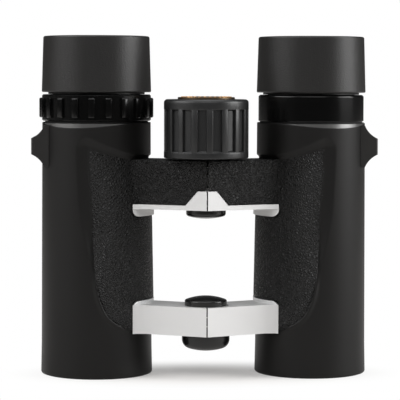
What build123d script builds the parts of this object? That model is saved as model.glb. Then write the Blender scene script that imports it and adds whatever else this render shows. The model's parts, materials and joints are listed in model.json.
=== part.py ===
"""Compact open-bridge binoculars, modelled as separate pieces in one shared frame.

Millimetres. The pair stands on its objective rims at z = 0, with +Z up, the front at -Y and the
hinge plane at x = 0. "left" is the -X half, seen on the left from the front.
"""

import os
from math import asin, atan2, cos, degrees, hypot, radians, sin, sqrt, tan

from build123d import *

os.makedirs("parts", exist_ok=True)

# Fits
seat_gap = 0.03
running_gap = 0.06
touch_gap = 0.05
cover_gap = 0.08
lens_clear = 0.1

# Main proportions
eye_distance = 70.0
hinge_offset = 15.0
fold_angle = 39.0
fold_margin = 3.0
lower_bridge_bottom = 14.3
lower_bridge_height = 9.2
finger_gap = 30.8
upper_bridge_height = 15.8

# Barrel shell: radii build up from the bore
chassis_bore = 14.6
chassis_wall = 1.8
hood_step = 0.2
hood_depth = 5.0
crown_wall = 0.9
crown_height = 4.6
armour_rise = 0.3
armour_wall_low = 1.55
armour_wall_high = 1.2
armour_flare = 0.2
armour_flare_height = 10.0
armour_rim_round = 0.7
armour_lip = 1.0
scallop_depth = 1.6
scallop_reach = 16.5
scallop_turn = 24.0

# Grip panel: its outer edge runs as (reach to the hinge side, height), the top pair measured from the
# top of the upper bridge and the rest from the bottom of the lower bridge
grip_wall_low = 2.4
grip_wall_middle = 1.75
grip_wall_high = 0.55
grip_middle_rise = 35.7
grip_foot = 0.2
grip_head = 4.4
grip_edge_high = [(-2.9, 3.9), (-2.7, -3.5)]
grip_edge_low = [(-2.3, 45.8), (-1.4, 32.1), (-0.8, 22.9), (-0.2, 16.0)]
grip_edge_low += [(1.0, 10.4), (3.3, 5.7), (7.0, 2.6), (11.0, 0.9)]
grip_shoulder_reach = 12.2
grip_near = 10.0

# Bridges: the insets run from a barrel's axis towards the hinge
bridge_angle = 26.0
split_gap = 0.4
bridge_front = 9.0
bridge_core_inset = 1.1
bridge_cover_rise = 0.3
bridge_depth = 14.0
bridge_bend_inset = 15.7
bridge_end_inset = 11.65
bridge_root_gap = 13.0
pad_rise = 0.75
pad_back_angle = 30.0
pad_corner_round = 2.2
lower_pad_drop = 0.1
lower_pad_lift = 1.1
upper_pad_drop = 2.5
upper_lip_height = 1.5
window_height = 6.1
window_half_top = 3.0
window_half_bottom = 6.8
bridge_cover_top_wall = 1.1
bridge_cover_back_wall = 1.1

# Hinges
spindle_radius = 1.6
thread_step = 0.8
shaft_clear = 0.6
shaft_wall = 1.0
shaft_step = 0.5
upper_knuckle_wall = 2.1
lower_pin_radius = 3.5
lower_pin_reach = 1.6
lower_knuckle_wall = 3.5
knuckle_room = 0.25
washer_inset = 0.2
washer_thickness = 0.3
upper_outer_knuckle = 1.3
upper_inner_knuckle = 1.5
upper_high_knuckle = 2.1
lower_outer_knuckle = 3.0
slot_steps = 4
upper_cap_inset = 0.25
upper_cap_rim = 1.95
upper_cap_dome = 0.95
upper_cap_round = 1.0
spigot_clear = 0.35
lower_top_cap_inset = 0.25
lower_top_cap_rim = 1.75
lower_top_cap_dome = 1.3
lower_top_cap_round = 0.6
lower_bottom_cap_rise = 0.65
lower_bottom_cap_rim = 3.6
lower_bottom_cap_dome = 1.6
lower_bottom_cap_round = 2.9

# Focus knob
knob_radius = 13.5
knob_gap = 0.6
knob_edge_round = 1.2
knob_foot_round = 0.4
knob_wall = 2.2
knob_hub_wall = 1.4
knob_roof = 3.4
knob_floor_lift = 0.6
knob_crown = 2.1
knob_bearing = 8.3
pocket_count = 17
pocket_depth = 0.9
pocket_width = 3.0
pocket_low = 2.3
pocket_high = 3.3
pocket_round = 0.5
pocket_turn = 261.7
badge_radius = 9.1
badge_height = 1.3
badge_sink = 0.4
badge_round = 0.3
nut_wall = 1.6
nut_height = 5.6
nut_clear = 0.2
shaft_rise = 1.0
clip_thickness = 0.6
clip_reach = 1.2
clip_slot = 3.0
clip_groove = 0.5

# Focus drive
focus_down = 4.0
focus_up = 0.7
arm_lift = 7.7
arm_height = 2.2
arm_width = 2.4
arm_slack = 0.3
arm_ring_clear = 0.25
tunnel_depth = 2.0
spindle_foot = 1.8
spindle_groove = 0.4
spindle_rise = 0.4
spindle_room = 0.4
carrier_rim = 0.4
carrier_height = 7.6
carrier_clear = 0.5
carrier_lens_radius = 9.5
carrier_wall = 2.2
carrier_seat = 1.2
carrier_lens_edge = 3.0
carrier_lens_sag = 1.0

# Objective
objective_wall = 1.2
objective_ledge = 0.8
retainer_height = 1.8
retainer_ledge = 0.4
retainer_slot = 1.6
crown_edge = 1.2
flint_edge = 3.8
objective_front_sag = 1.5
objective_joint_sag = 2.0
objective_back_sag = 0.3
cell_shoulder = 1.7

# Prisms
prism_gap = 0.1
prism_shift = -1.3
prism_corner_clear = 0.8
prism_seat_thickness = 1.2
prism_seat_ledge = 1.8
holder_floor = 1.2
holder_wall = 1.15
holder_height = 11.0
prism_lift = 0.05
roof_rise = 4.2
prism_clip_thickness = 0.5
prism_clip_leg = 0.8
prism_clip_width = 5.0

# Eyepieces
tube_lift = 1.6
tube_seat = 1.9
tube_room_clear = 0.13
tube_room_lift = 0.5
tube_wall = 0.7
tube_bore_wall = 1.6
tube_sink = 6.6
cell_lift = 4.0
cell_drop = 1.6
cell_wall = 1.5
cell_seat = 0.7
field_lens_lift = 1.4
eye_lens_drop = 4.8
eyepiece_lens_edge = 3.0
eyepiece_lens_sag = 1.1
seal_clear = 0.8
seal_inset = 0.6
seal_height = 0.7
ring_height = 8.6
diopter_wall = 3.5
diopter_rib_rise = 0.85
diopter_rib_count = 21
diopter_rib_width = 1.9
diopter_rib_low = 1.1
diopter_rib_high = 1.1
diopter_rib_round = 0.4
diopter_rib_turn = 265.4
collar_wall = 2.95
ring_chamfer = 0.5

# Eyecups
cup_gap = 0.7
cup_height = 18.1
cup_flare = 0.55
cup_edge_round = 0.6
cup_skin = 1.55
cup_lip = 2.4
cup_opening_inset = 0.6
cup_clear = 0.4
cup_foot_round = 0.4
core_wall = 0.43
core_lip = 1.5
core_foot = 0.6
lift_ring_wall = 0.9
lift_ring_height = 8.6
key_width = 2.0
key_depth = 0.6

# Strap lugs
lug_reach = 2.95
lug_drop = 0.9
lug_flank_high = 4.2
lug_face_height = 5.1
lug_flank_low = 4.2
lug_width = 18.0
lug_foot_width = 12.0
lug_foot_drop = 0.4
lug_foot_height = 6.4
lug_flank_bow = 0.42
lug_flank_inset = 0.95
lug_corner_round = 0.6
strap_slot_depth = 1.8
strap_slot_width = 10.0
strap_bar = 1.3

# Radii of the barrel, from the bore outwards
hood_bore = chassis_bore + hood_step
chassis_radius = chassis_bore + chassis_wall
crown_radius = chassis_radius + crown_wall
armour_radius_low = chassis_radius + armour_wall_low
armour_radius_high = chassis_radius + armour_wall_high
armour_flare_radius = armour_radius_low + armour_flare
grip_radius_low = chassis_radius + grip_wall_low
grip_radius_middle = chassis_radius + grip_wall_middle
grip_radius_high = chassis_radius + grip_wall_high
pad_radius = armour_radius_low + pad_rise
objective_radius = chassis_bore - objective_wall
objective_stop = objective_radius - objective_ledge
retainer_bore = objective_radius - retainer_ledge
tunnel_stop = chassis_bore - tunnel_depth
prism_seat_bore = chassis_bore - prism_seat_ledge
holder_outer = chassis_bore - seat_gap
holder_inner = holder_outer - holder_wall
prism_clip_outer = holder_inner - touch_gap
eyepiece_tube_room = prism_clip_outer + tube_room_clear
eyepiece_tube_radius = eyepiece_tube_room + tube_wall
eyepiece_tube_bore = eyepiece_tube_radius - tube_bore_wall
seal_inner = eyepiece_tube_radius + seal_clear
seal_outer = crown_radius - seal_inset
diopter_radius = eyepiece_tube_radius + diopter_wall
diopter_rib_radius = diopter_radius + diopter_rib_rise
collar_radius = eyepiece_tube_radius + collar_wall
lift_inner = eyepiece_tube_radius + running_gap
lift_outer = lift_inner + lift_ring_wall
core_outer = lift_outer + running_gap + core_wall
cup_radius_high = core_outer + cup_skin
cup_radius_low = cup_radius_high + cup_flare
cup_opening = eyepiece_tube_bore - cup_opening_inset

# The first prism's far corner sets the prisms' size: it just clears the holder's wall
prism_corner = holder_inner - prism_corner_clear
prism_spread = 2 * sqrt(2) - 1
prism_norm = 1 + prism_spread**2
prism_root = sqrt(prism_corner**2 * prism_norm - prism_shift**2)
prism_half = (prism_root + prism_shift * prism_spread) / prism_norm

# Radii of the hinges and the knob, from the spindle outwards
thread_radius = spindle_radius + thread_step
shaft_bore = thread_radius + shaft_clear
shaft_neck_radius = shaft_bore + shaft_wall
shaft_radius = shaft_neck_radius + shaft_step
upper_knuckle_radius = shaft_radius + upper_knuckle_wall
lower_knuckle_radius = lower_pin_radius + lower_knuckle_wall
arm_ring_radius = shaft_bore - arm_ring_clear
nut_radius = shaft_neck_radius + nut_wall
knob_hub_radius = nut_radius + knob_hub_wall
upper_cap_radius = upper_knuckle_radius - upper_cap_inset
lower_top_cap_radius = lower_knuckle_radius - lower_top_cap_inset
lower_bottom_cap_radius = lower_knuckle_radius + lower_bottom_cap_rise

# Heights of the bridges and of the grip panel
lower_bridge_top = lower_bridge_bottom + lower_bridge_height
lower_pad_bottom = lower_bridge_bottom - lower_pad_drop
lower_pad_top = lower_bridge_top + lower_pad_lift
upper_bridge_bottom = lower_bridge_top + finger_gap
upper_bridge_top = upper_bridge_bottom + upper_bridge_height
upper_pad_bottom = upper_bridge_bottom - upper_pad_drop
upper_lip_top = upper_bridge_bottom + upper_lip_height
window_top = upper_bridge_bottom + window_height
grip_bottom = lower_bridge_bottom + grip_foot
grip_middle = lower_bridge_bottom + grip_middle_rise
grip_top = upper_bridge_top + grip_head
grip_edge = [(reach, upper_bridge_top + rise) for reach, rise in grip_edge_high]
grip_edge += [(reach, lower_bridge_bottom + rise) for reach, rise in grip_edge_low]
core_top = upper_bridge_top - bridge_cover_top_wall

# Heights up one barrel, from the focus arm to the eyecup's rim
arm_bottom = upper_bridge_bottom + arm_lift
arm_top = arm_bottom + arm_height
carrier_top = arm_top + carrier_rim
carrier_bottom = carrier_top - carrier_height
prism_seat_height = carrier_top + focus_up + carrier_clear
holder_bottom = prism_seat_height + prism_seat_thickness
holder_top = holder_bottom + holder_height
prism_base = holder_bottom + holder_floor + prism_lift
prism_crest = prism_base + prism_half * (1 + sqrt(2))
prism_clip_bottom = prism_crest + prism_lift
prism_clip_top = prism_clip_bottom + prism_clip_thickness
eyepiece_tube_bottom = holder_top + tube_lift
eyepiece_room_top = prism_clip_top + tube_room_lift
chassis_top = eyepiece_tube_bottom + tube_seat
crown_bottom = chassis_top - crown_height
armour_top = chassis_top + armour_rise
ring_bottom = chassis_top + seal_height
ring_top = ring_bottom + ring_height
cup_bottom = ring_top + cup_gap
cup_top = cup_bottom + cup_height
eyepiece_tube_top = cup_top - tube_sink
cell_bottom = prism_clip_top + cell_lift
cell_top = eyepiece_tube_top - cell_drop
field_lens_bottom = cell_bottom + field_lens_lift
eye_lens_bottom = cell_top - eye_lens_drop
lug_root_top = armour_top - lug_drop
lug_face_top = lug_root_top - lug_flank_high
lug_face_bottom = lug_face_top - lug_face_height
lug_root_bottom = lug_face_bottom - lug_flank_low
lug_foot_top = crown_bottom - lug_foot_drop
lug_foot_bottom = lug_foot_top - lug_foot_height

# Heights up the hinge axis, from the bridge to the knob's top
knob_bottom = upper_bridge_top + knob_gap
knob_bearing_top = knob_bottom + knob_bearing
shaft_top = knob_bearing_top + shaft_rise
nut_bottom = shaft_top + nut_clear
nut_top = nut_bottom + nut_height
spindle_bottom = arm_bottom - spindle_foot
spindle_top = nut_top + spindle_rise
knob_hub_top = spindle_top + focus_up + spindle_room
knob_top = knob_hub_top + knob_crown
spigot_top = spindle_bottom - focus_down - spigot_clear

# Plan positions
barrel_y = (hinge_offset + knob_radius - diopter_rib_radius) / 2
hinge_y = barrel_y - hinge_offset
hinge = (0, hinge_y)
sides = {"left": -1, "right": 1}
bridge_slope = tan(radians(bridge_angle))
bridge_bend_reach = eye_distance / 2 - bridge_bend_inset
bridge_end_reach = eye_distance / 2 - bridge_end_inset
bridge_root_inset = eye_distance / 2 - bridge_root_gap
bridge_core_front = bridge_front - bridge_core_inset
bridge_cover_front = bridge_front + bridge_cover_rise
relief_angle = radians((fold_angle + fold_margin) / 2)
bridge_rear = bridge_depth / cos(radians(bridge_angle)) - bridge_front
arm_length = hypot(eye_distance / 2, hinge_offset)
tunnel_low = arm_bottom - focus_down - arm_slack
tunnel_high = arm_top + focus_up + arm_slack
tunnel_width = arm_width + 2 * arm_slack
pad_back = hinge_offset + pad_radius * sin(radians(pad_back_angle))
far = 2 * eye_distance

# Hinge knuckles from the bottom up: the left half holds the outer ones of each hinge
left_low = (upper_bridge_bottom, upper_bridge_bottom + upper_outer_knuckle)
right_low_start = left_low[1] + washer_thickness
right_low = (right_low_start, right_low_start + upper_inner_knuckle)
left_high = (upper_bridge_top - upper_high_knuckle, upper_bridge_top)
right_high_end = left_high[0] - washer_thickness
right_high = (right_high_end - upper_high_knuckle, right_high_end)
left_bottom = (lower_bridge_bottom, lower_bridge_bottom + lower_outer_knuckle)
left_top = (lower_bridge_top - lower_outer_knuckle, lower_bridge_top)
right_middle = (left_bottom[1] + washer_thickness, left_top[0] - washer_thickness)
upper_knuckles = {"left": [left_low, left_high], "right": [right_low, right_high]}
lower_knuckles = {"left": [left_bottom, left_top], "right": [right_middle]}
upper_rooms = {
    "left": [(left_low[1], right_low[1]), (right_high[0], left_high[0])],
    "right": [(upper_bridge_bottom, right_low[0]), (right_high[1], upper_bridge_top)],
}
lower_rooms = {
    "left": [(left_bottom[1], left_top[0])],
    "right": [(lower_bridge_bottom, right_middle[0]), (right_middle[1], lower_bridge_top)],
}


def barrel(side):
    """Plan position of one barrel's optical axis."""
    return (side * eye_distance / 2, barrel_y)


def plan(side, points):
    """Plan outline of one half, from (across, back) distances measured off the hinge axis."""
    placed = [(side * across, hinge_y + back) for across, back in points]
    return placed if side > 0 else placed[::-1]


def turned(profile, centre, rounds=(), mode=Mode.ADD):
    """Turn a closed profile of (radius, height) points about a vertical axis."""
    section_plane = Plane(origin=(*centre, 0), x_dir=(1, 0, 0), z_dir=(0, -1, 0))
    with BuildSketch(section_plane) as section:
        with BuildLine():
            Polyline(*profile, close=True)
        make_face()
        for corner, size in rounds:
            fillet(section.vertices().sort_by_distance((*corner, 0))[0], size)
    revolve(section.sketch, axis=Axis((*centre, 0), (0, 0, 1)), mode=mode)


def ring(centre, inner, outer, low, high, mode=Mode.ADD):
    """Plain ring, or a disc when the inner radius is nought."""
    turned([(inner, low), (outer, low), (outer, high), (inner, high)], centre, mode=mode)


def plate(points, low, high, mode=Mode.ADD):
    """Upright plate on a plan outline."""
    with BuildSketch(Plane.XY.offset(low)) as outline:
        Polygon(*points, align=None)
    extrude(outline.sketch, amount=high - low, mode=mode)


def front_cut(points, back, depth, rounds=(), mode=Mode.SUBTRACT):
    """Block on a front-view outline of (x, height) points, from y = back towards the front."""
    with BuildSketch(Plane.XZ.offset(-back)) as outline:
        Polygon(*points, align=None)
        for corner, size in rounds:
            fillet(outline.vertices().sort_by_distance((*corner, 0))[0], size)
    extrude(outline.sketch, amount=depth, mode=mode)


def front_box(side, near, reach, low, high, back, depth, mode=Mode.SUBTRACT):
    """Block between two distances from the hinge plane."""
    corners = [(side * near, low), (side * reach, low), (side * reach, high), (side * near, high)]
    front_cut(corners if side > 0 else corners[::-1], back, depth, mode=mode)


def beam(side, start, end, width, low, high, mode=Mode.ADD):
    """Straight bar from the hinge axis towards one barrel's axis."""
    along = (side * eye_distance / 2 / arm_length, hinge_offset / arm_length)
    bar_plane = Plane(origin=(0, hinge_y, low), x_dir=(*along, 0), z_dir=(0, 0, 1))
    with BuildSketch(bar_plane) as outline:
        with Locations(((start + end) / 2, 0)):
            Rectangle(end - start, width)
    extrude(outline.sketch, amount=high - low, mode=mode)


def lens(centre, radius, low, high, low_sag, high_sag):
    """Lens with spherical faces; the sags bulge outwards when positive."""
    section_plane = Plane(origin=(*centre, 0), x_dir=(1, 0, 0), z_dir=(0, -1, 0))
    with BuildSketch(section_plane) as section:
        with BuildLine():
            for height, apex in ((low, low - low_sag), (high, high + high_sag)):
                if apex == height:
                    Line((0, apex), (radius, height))
                else:
                    TangentArc((0, apex), (radius, height), tangent=(1, 0))
            Line((radius, low), (radius, high))
            Line((0, high + high_sag), (0, low - low_sag))
        make_face()
    revolve(section.sketch, axis=Axis((*centre, 0), (0, 0, 1)))


def domed_cap(radius, seat, way, rim, dome, soften):
    """Cap on the hinge axis that stands on a flat seat and domes away from it, up or down."""
    edge = seat + way * rim
    crest = edge + way * dome
    section_plane = Plane(origin=(*hinge, 0), x_dir=(1, 0, 0), z_dir=(0, -1, 0))
    with BuildSketch(section_plane) as section:
        with BuildLine():
            TangentArc((0, crest), (radius, edge), tangent=(1, 0))
            Polyline((radius, edge), (radius, seat), (0, seat), (0, crest))
        make_face()
        fillet(section.vertices().sort_by_distance((radius, edge, 0))[0], soften)
    revolve(section.sketch, axis=Axis((*hinge, 0), (0, 0, 1)))


def save(builder, node):
    """Label a finished piece and write its file."""
    builder.part.label = node
    export_step(builder.part, f"parts/{node}.step")


def bridge_plan(side, front, rear, bend_reach, end_reach):
    """Plan outline of a bridge arm with its relief behind the hinge for folding."""
    relief = rear / (cos(relief_angle) - bridge_slope * sin(relief_angle))
    bend_back = bend_reach * bridge_slope - front
    root_back = bridge_root_inset * bridge_slope + rear
    outline = [
        (split_gap / 2, -front),
        (bend_reach, bend_back),
        (end_reach, bend_back),
        (end_reach, hinge_offset),
        (bridge_root_inset, root_back),
        (relief * sin(relief_angle), relief * cos(relief_angle)),
        (split_gap / 2, 0),
    ]
    return plan(side, outline)


def grip_outline(side, grow):
    """Front view of the grip panel: distances run from the barrel axis towards the hinge."""
    with BuildSketch(Plane.XZ.offset(-barrel_y)) as outline:
        with BuildLine():
            edge = [(side * (eye_distance / 2 - reach + grow), height) for reach, height in grip_edge]
            edge_top = (edge[0][0], edge[0][1] + grow)
            edge_foot = (edge[-1][0], edge[-1][1] - grow)
            shoulder_top = upper_bridge_top + grow
            foot = (side * grip_near, edge_foot[1])
            head = (side * grip_near, shoulder_top)
            shoulder = (side * (eye_distance / 2 - grip_shoulder_reach), shoulder_top)
            Spline(edge_top, *edge[1:-1], edge_foot)
            Polyline(edge_foot, foot, head, shoulder, edge_top)
        make_face()
    return outline.sketch


def chassis(side_name):
    """Cast half body: barrel tube, two bridge arms and their hinge knuckles."""
    side = sides[side_name]
    centre = barrel(side)
    is_left = side_name == "left"
    fit = seat_gap if is_left else running_gap
    with BuildPart() as body:
        pads = [
            (lower_pad_bottom, lower_pad_top, lower_pad_top),
            (upper_pad_bottom, upper_lip_top, upper_pad_bottom),
        ]
        for low, high, rounded in pads:
            near = side * split_gap
            end = side * bridge_end_reach
            corners = [(near, low), (end, low), (end, high), (near, high)]
            rounds = [((end, rounded), pad_corner_round)]
            placed = corners if side > 0 else corners[::-1]
            front_cut(placed, hinge_y + pad_back, far, rounds, mode=Mode.ADD)
        ring(centre, 0, pad_radius, 0, chassis_top, mode=Mode.INTERSECT)
        lip_plan = bridge_plan(side, bridge_front, bridge_rear, bridge_bend_reach, bridge_end_reach)
        plate(lip_plan, upper_bridge_bottom, window_top)
        beyond_window = [
            (side * window_half_bottom, upper_lip_top),
            (side * far, upper_lip_top),
            (side * far, window_top),
            (side * window_half_top, window_top),
        ]
        front_cut(beyond_window if side > 0 else beyond_window[::-1], far, 2 * far)
        plate(lip_plan, lower_bridge_bottom, lower_bridge_top)
        core_plan = bridge_plan(side, bridge_core_front, bridge_rear, bridge_end_reach, bridge_end_reach)
        plate(core_plan, upper_bridge_bottom, core_top)
        shell = [
            (0, armour_lip),
            (chassis_radius, armour_lip),
            (chassis_radius, crown_bottom),
            (crown_radius, crown_bottom),
            (crown_radius, chassis_top),
            (0, chassis_top),
        ]
        turned(shell, centre)
        ring(centre, 0, hood_bore, armour_lip, hood_depth, mode=Mode.SUBTRACT)
        ring(centre, 0, chassis_bore, hood_depth, prism_seat_height, mode=Mode.SUBTRACT)
        ring(centre, 0, prism_seat_bore, prism_seat_height, chassis_top, mode=Mode.SUBTRACT)
        ring(centre, 0, chassis_bore, holder_bottom, chassis_top, mode=Mode.SUBTRACT)
        for low, high in upper_rooms[side_name]:
            ring(hinge, 0, upper_knuckle_radius + knuckle_room, low, high, mode=Mode.SUBTRACT)
        for low, high in lower_rooms[side_name]:
            ring(hinge, 0, lower_knuckle_radius + knuckle_room, low, high, mode=Mode.SUBTRACT)
        ring(hinge, 0, shaft_radius + knuckle_room, right_low[1], right_high[0], mode=Mode.SUBTRACT)
        for low, high in upper_knuckles[side_name]:
            ring(hinge, 0, upper_knuckle_radius, low, high)
        for low, high in lower_knuckles[side_name]:
            ring(hinge, 0, lower_knuckle_radius, low, high)
        ring(hinge, 0, shaft_radius + fit, upper_bridge_bottom, upper_bridge_top, mode=Mode.SUBTRACT)
        ring(hinge, 0, lower_pin_radius + fit, lower_bridge_bottom, lower_bridge_top, mode=Mode.SUBTRACT)
        tunnel_end = arm_length - tunnel_stop
        beam(side, shaft_bore, tunnel_end, tunnel_width, tunnel_low, tunnel_high, mode=Mode.SUBTRACT)
    save(body, f"{side_name}_chassis")


def armour(side_name):
    """Rubber skin of one barrel, open where the bridge arms and the grip panel come through."""
    side = sides[side_name]
    centre = barrel(side)
    with BuildPart() as skin:
        profile = [
            (hood_bore, 0),
            (armour_flare_radius, 0),
            (armour_radius_low, armour_flare_height),
            (armour_radius_high, armour_top),
            (crown_radius + seat_gap, armour_top),
            (crown_radius + seat_gap, crown_bottom - seat_gap),
            (chassis_radius + seat_gap, crown_bottom - seat_gap),
            (chassis_radius + seat_gap, armour_lip - seat_gap),
            (hood_bore, armour_lip - seat_gap),
        ]
        turned(profile, centre, rounds=[((armour_flare_radius, 0), armour_rim_round)])
        reach = bridge_end_reach + cover_gap
        back = hinge_y + pad_back + cover_gap
        front_box(side, 0, reach, lower_pad_bottom - cover_gap, lower_pad_top + cover_gap, back, far)
        front_box(side, 0, reach, upper_pad_bottom - cover_gap, upper_bridge_top + cover_gap, back, far)
        extrude(grip_outline(side, cover_gap), amount=far, both=True, mode=Mode.SUBTRACT)
        outward = radians(scallop_turn)
        scallop_plane = Plane(
            origin=(*centre, 0),
            x_dir=(cos(outward), side * sin(outward), 0),
            z_dir=(side * sin(outward), -cos(outward), 0),
        )
        scallop_radius = (scallop_reach**2 + scallop_depth**2) / (2 * scallop_depth)
        with BuildSketch(scallop_plane) as scallop:
            with Locations((0, armour_top - scallop_depth + scallop_radius)):
                Circle(scallop_radius)
        extrude(scallop.sketch, amount=far, mode=Mode.SUBTRACT)
        foot = lug_foot_width + 2 * cover_gap
        lug_reach_out = eye_distance / 2 + armour_radius_low
        front_box(side, eye_distance / 2, lug_reach_out + lug_reach, lug_foot_bottom - cover_gap,
                  lug_foot_top + cover_gap, barrel_y + foot / 2, foot)
    save(skin, f"{side_name}_armour")


def grip_cover(side_name):
    """Textured cover over the inner side of one barrel and its half of the upper bridge."""
    side = sides[side_name]
    centre = barrel(side)
    with BuildPart() as cover:
        profile = [
            (chassis_radius + seat_gap, grip_bottom),
            (grip_radius_low, grip_bottom),
            (grip_radius_middle, grip_middle),
            (grip_radius_high, grip_top),
            (chassis_radius + seat_gap, grip_top),
        ]
        turned(profile, centre)
        extrude(grip_outline(side, 0), amount=far, both=True, mode=Mode.INTERSECT)
        wrap_rear = bridge_rear + bridge_cover_back_wall
        wrap_plan = bridge_plan(side, bridge_cover_front, wrap_rear, bridge_end_reach, bridge_end_reach)
        plate(wrap_plan, upper_lip_top + cover_gap, upper_bridge_top)
        core_front = bridge_core_front + cover_gap
        core_rear = bridge_rear + cover_gap
        core_plan = bridge_plan(side, core_front, core_rear, bridge_end_reach, bridge_end_reach)
        plate(core_plan, upper_bridge_bottom, core_top + cover_gap, mode=Mode.SUBTRACT)
        tube_room = chassis_radius + 2 * seat_gap
        ring(centre, 0, tube_room, upper_bridge_bottom, upper_bridge_top, mode=Mode.SUBTRACT)
        hinge_room = upper_knuckle_radius + knuckle_room
        ring(hinge, 0, hinge_room, upper_bridge_bottom, upper_bridge_top, mode=Mode.SUBTRACT)
        window = [
            (side * (window_half_bottom + cover_gap), upper_lip_top),
            (side * (window_half_top + cover_gap), window_top + cover_gap),
            (0, window_top + cover_gap),
            (0, upper_lip_top),
        ]
        front_cut(window if side > 0 else window[::-1], hinge_y, far)
        reach = bridge_end_reach + cover_gap
        back = hinge_y + pad_back + cover_gap
        front_box(side, 0, reach, 0, lower_pad_top + cover_gap, back, far)
        front_box(side, 0, reach, upper_pad_bottom - cover_gap, upper_lip_top + cover_gap, back, far)
    save(cover, f"{side_name}_grip_cover")


def strap_lug(side_name):
    """Strap lug with a vertical slot, footed on the chassis through the armour."""
    side = sides[side_name]
    centre = barrel(side)
    outer = armour_radius_low + lug_reach
    lug_root = sqrt(armour_radius_high**2 - (lug_width / 2)**2)
    flank_root = armour_radius_high - lug_flank_inset
    lug_plane = Plane(origin=(*centre, 0), x_dir=(side, 0, 0), z_dir=(0, -side, 0))
    with BuildPart() as lug:
        with BuildSketch(lug_plane) as flare:
            with BuildLine():
                low_mid = (
                    (flank_root + outer) / 2 - lug_flank_bow,
                    (lug_root_bottom + lug_face_bottom) / 2 + lug_flank_bow,
                )
                high_mid = (
                    (flank_root + outer) / 2 - lug_flank_bow,
                    (lug_root_top + lug_face_top) / 2 - lug_flank_bow,
                )
                ThreePointArc((flank_root, lug_root_bottom), low_mid, (outer, lug_face_bottom))
                Line((outer, lug_face_bottom), (outer, lug_face_top))
                ThreePointArc((outer, lug_face_top), high_mid, (flank_root, lug_root_top))
                Polyline((flank_root, lug_root_top), (lug_root, lug_root_top),
                         (lug_root, lug_root_bottom), (flank_root, lug_root_bottom))
            make_face()
        extrude(flare.sketch, amount=lug_width / 2, both=True)
        upright = lug.edges().filter_by(Axis.Z).sort_by_distance((*centre, lug_face_top))[-2:]
        fillet(upright, lug_corner_round)
        clear = [
            (0, 0),
            (armour_radius_low + touch_gap, 0),
            (armour_radius_low + touch_gap, armour_flare_height),
            (armour_radius_high + touch_gap, armour_top),
            (0, armour_top),
        ]
        turned(clear, centre, mode=Mode.SUBTRACT)
        with BuildSketch(lug_plane) as foot:
            with Locations(((chassis_radius + outer - strap_bar - strap_slot_depth) / 2,
                            (lug_foot_bottom + lug_foot_top) / 2)):
                Rectangle(outer - strap_bar - strap_slot_depth - chassis_radius,
                          lug_foot_top - lug_foot_bottom)
        extrude(foot.sketch, amount=lug_foot_width / 2, both=True)
        ring(centre, 0, chassis_radius + seat_gap, 0, chassis_top, mode=Mode.SUBTRACT)
        with BuildSketch(Plane.XY.offset(lug_root_bottom)) as slot:
            with Locations((centre[0] + side * (outer - strap_bar - strap_slot_depth / 2), barrel_y)):
                Rectangle(strap_slot_depth, strap_slot_width)
        extrude(slot.sketch, amount=lug_root_top - lug_root_bottom, mode=Mode.SUBTRACT)
    save(lug, f"{side_name}_strap_lug")


def objective(side_name):
    """Objective doublet with its cell and front retaining ring."""
    centre = barrel(sides[side_name])
    outer = chassis_bore - seat_gap
    lens_low = hood_depth + retainer_height + lens_clear
    joint = lens_low + crown_edge
    lens_high = joint + flint_edge
    with BuildPart() as cell:
        profile = [
            (objective_radius + seat_gap, lens_low),
            (outer, lens_low),
            (outer, lens_high + cell_shoulder),
            (objective_stop, lens_high + cell_shoulder),
            (objective_stop, lens_high),
            (objective_radius + seat_gap, lens_high),
        ]
        turned(profile, centre)
    save(cell, f"{side_name}_objective_cell")
    with BuildPart() as retainer:
        ring(centre, retainer_bore, outer, hood_depth, hood_depth + retainer_height)
        with BuildSketch(Plane.XY.offset(hood_depth)) as slots:
            with Locations(centre):
                Rectangle(2 * outer, retainer_slot)
        extrude(slots.sketch, amount=retainer_height / 2, mode=Mode.SUBTRACT)
    save(retainer, f"{side_name}_objective_retainer")
    with BuildPart() as glass:
        lens(centre, objective_radius, lens_low, joint, objective_front_sag, objective_joint_sag)
    save(glass, f"{side_name}_objective_crown_lens")
    with BuildPart() as glass:
        flint_low = joint + touch_gap
        lens(centre, objective_radius, flint_low, lens_high, -objective_joint_sag, -objective_back_sag)
    save(glass, f"{side_name}_objective_flint_lens")


def focus_group(side_name):
    """Sliding lens carrier, its negative lens and the arm that moves it."""
    side = sides[side_name]
    centre = barrel(side)
    outer = chassis_bore - running_gap
    lens_low = carrier_bottom + carrier_seat
    arm_end = arm_length - outer + carrier_wall
    with BuildPart() as carrier:
        ring(centre, carrier_lens_radius - carrier_seat, outer, carrier_bottom, carrier_top)
        ring(centre, 0, carrier_lens_radius + seat_gap, lens_low, carrier_top, mode=Mode.SUBTRACT)
        notch_width = arm_width + 2 * seat_gap
        beam(side, 0, arm_end, notch_width, arm_bottom - seat_gap, carrier_top, mode=Mode.SUBTRACT)
    save(carrier, f"{side_name}_focus_carrier")
    with BuildPart() as glass:
        lens(centre, carrier_lens_radius, lens_low, lens_low + carrier_lens_edge, -carrier_lens_sag,
             -carrier_lens_sag)
    save(glass, f"{side_name}_focus_lens")
    is_left = side_name == "left"
    ring_low = arm_bottom if is_left else arm_bottom + arm_height / 2 + touch_gap
    ring_high = arm_top - arm_height / 2 - touch_gap if is_left else arm_top
    ring_bore = spindle_radius + (seat_gap if is_left else running_gap)
    with BuildPart() as arm:
        beam(side, arm_ring_radius + arm_slack, arm_end, arm_width, arm_bottom, arm_top)
        beam(side, 0, arm_ring_radius + arm_slack, arm_width, ring_low, ring_high)
        ring(hinge, 0, arm_ring_radius, ring_low, ring_high)
        ring(hinge, 0, ring_bore, ring_low, ring_high, mode=Mode.SUBTRACT)
    save(arm, f"{side_name}_focus_arm")


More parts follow.
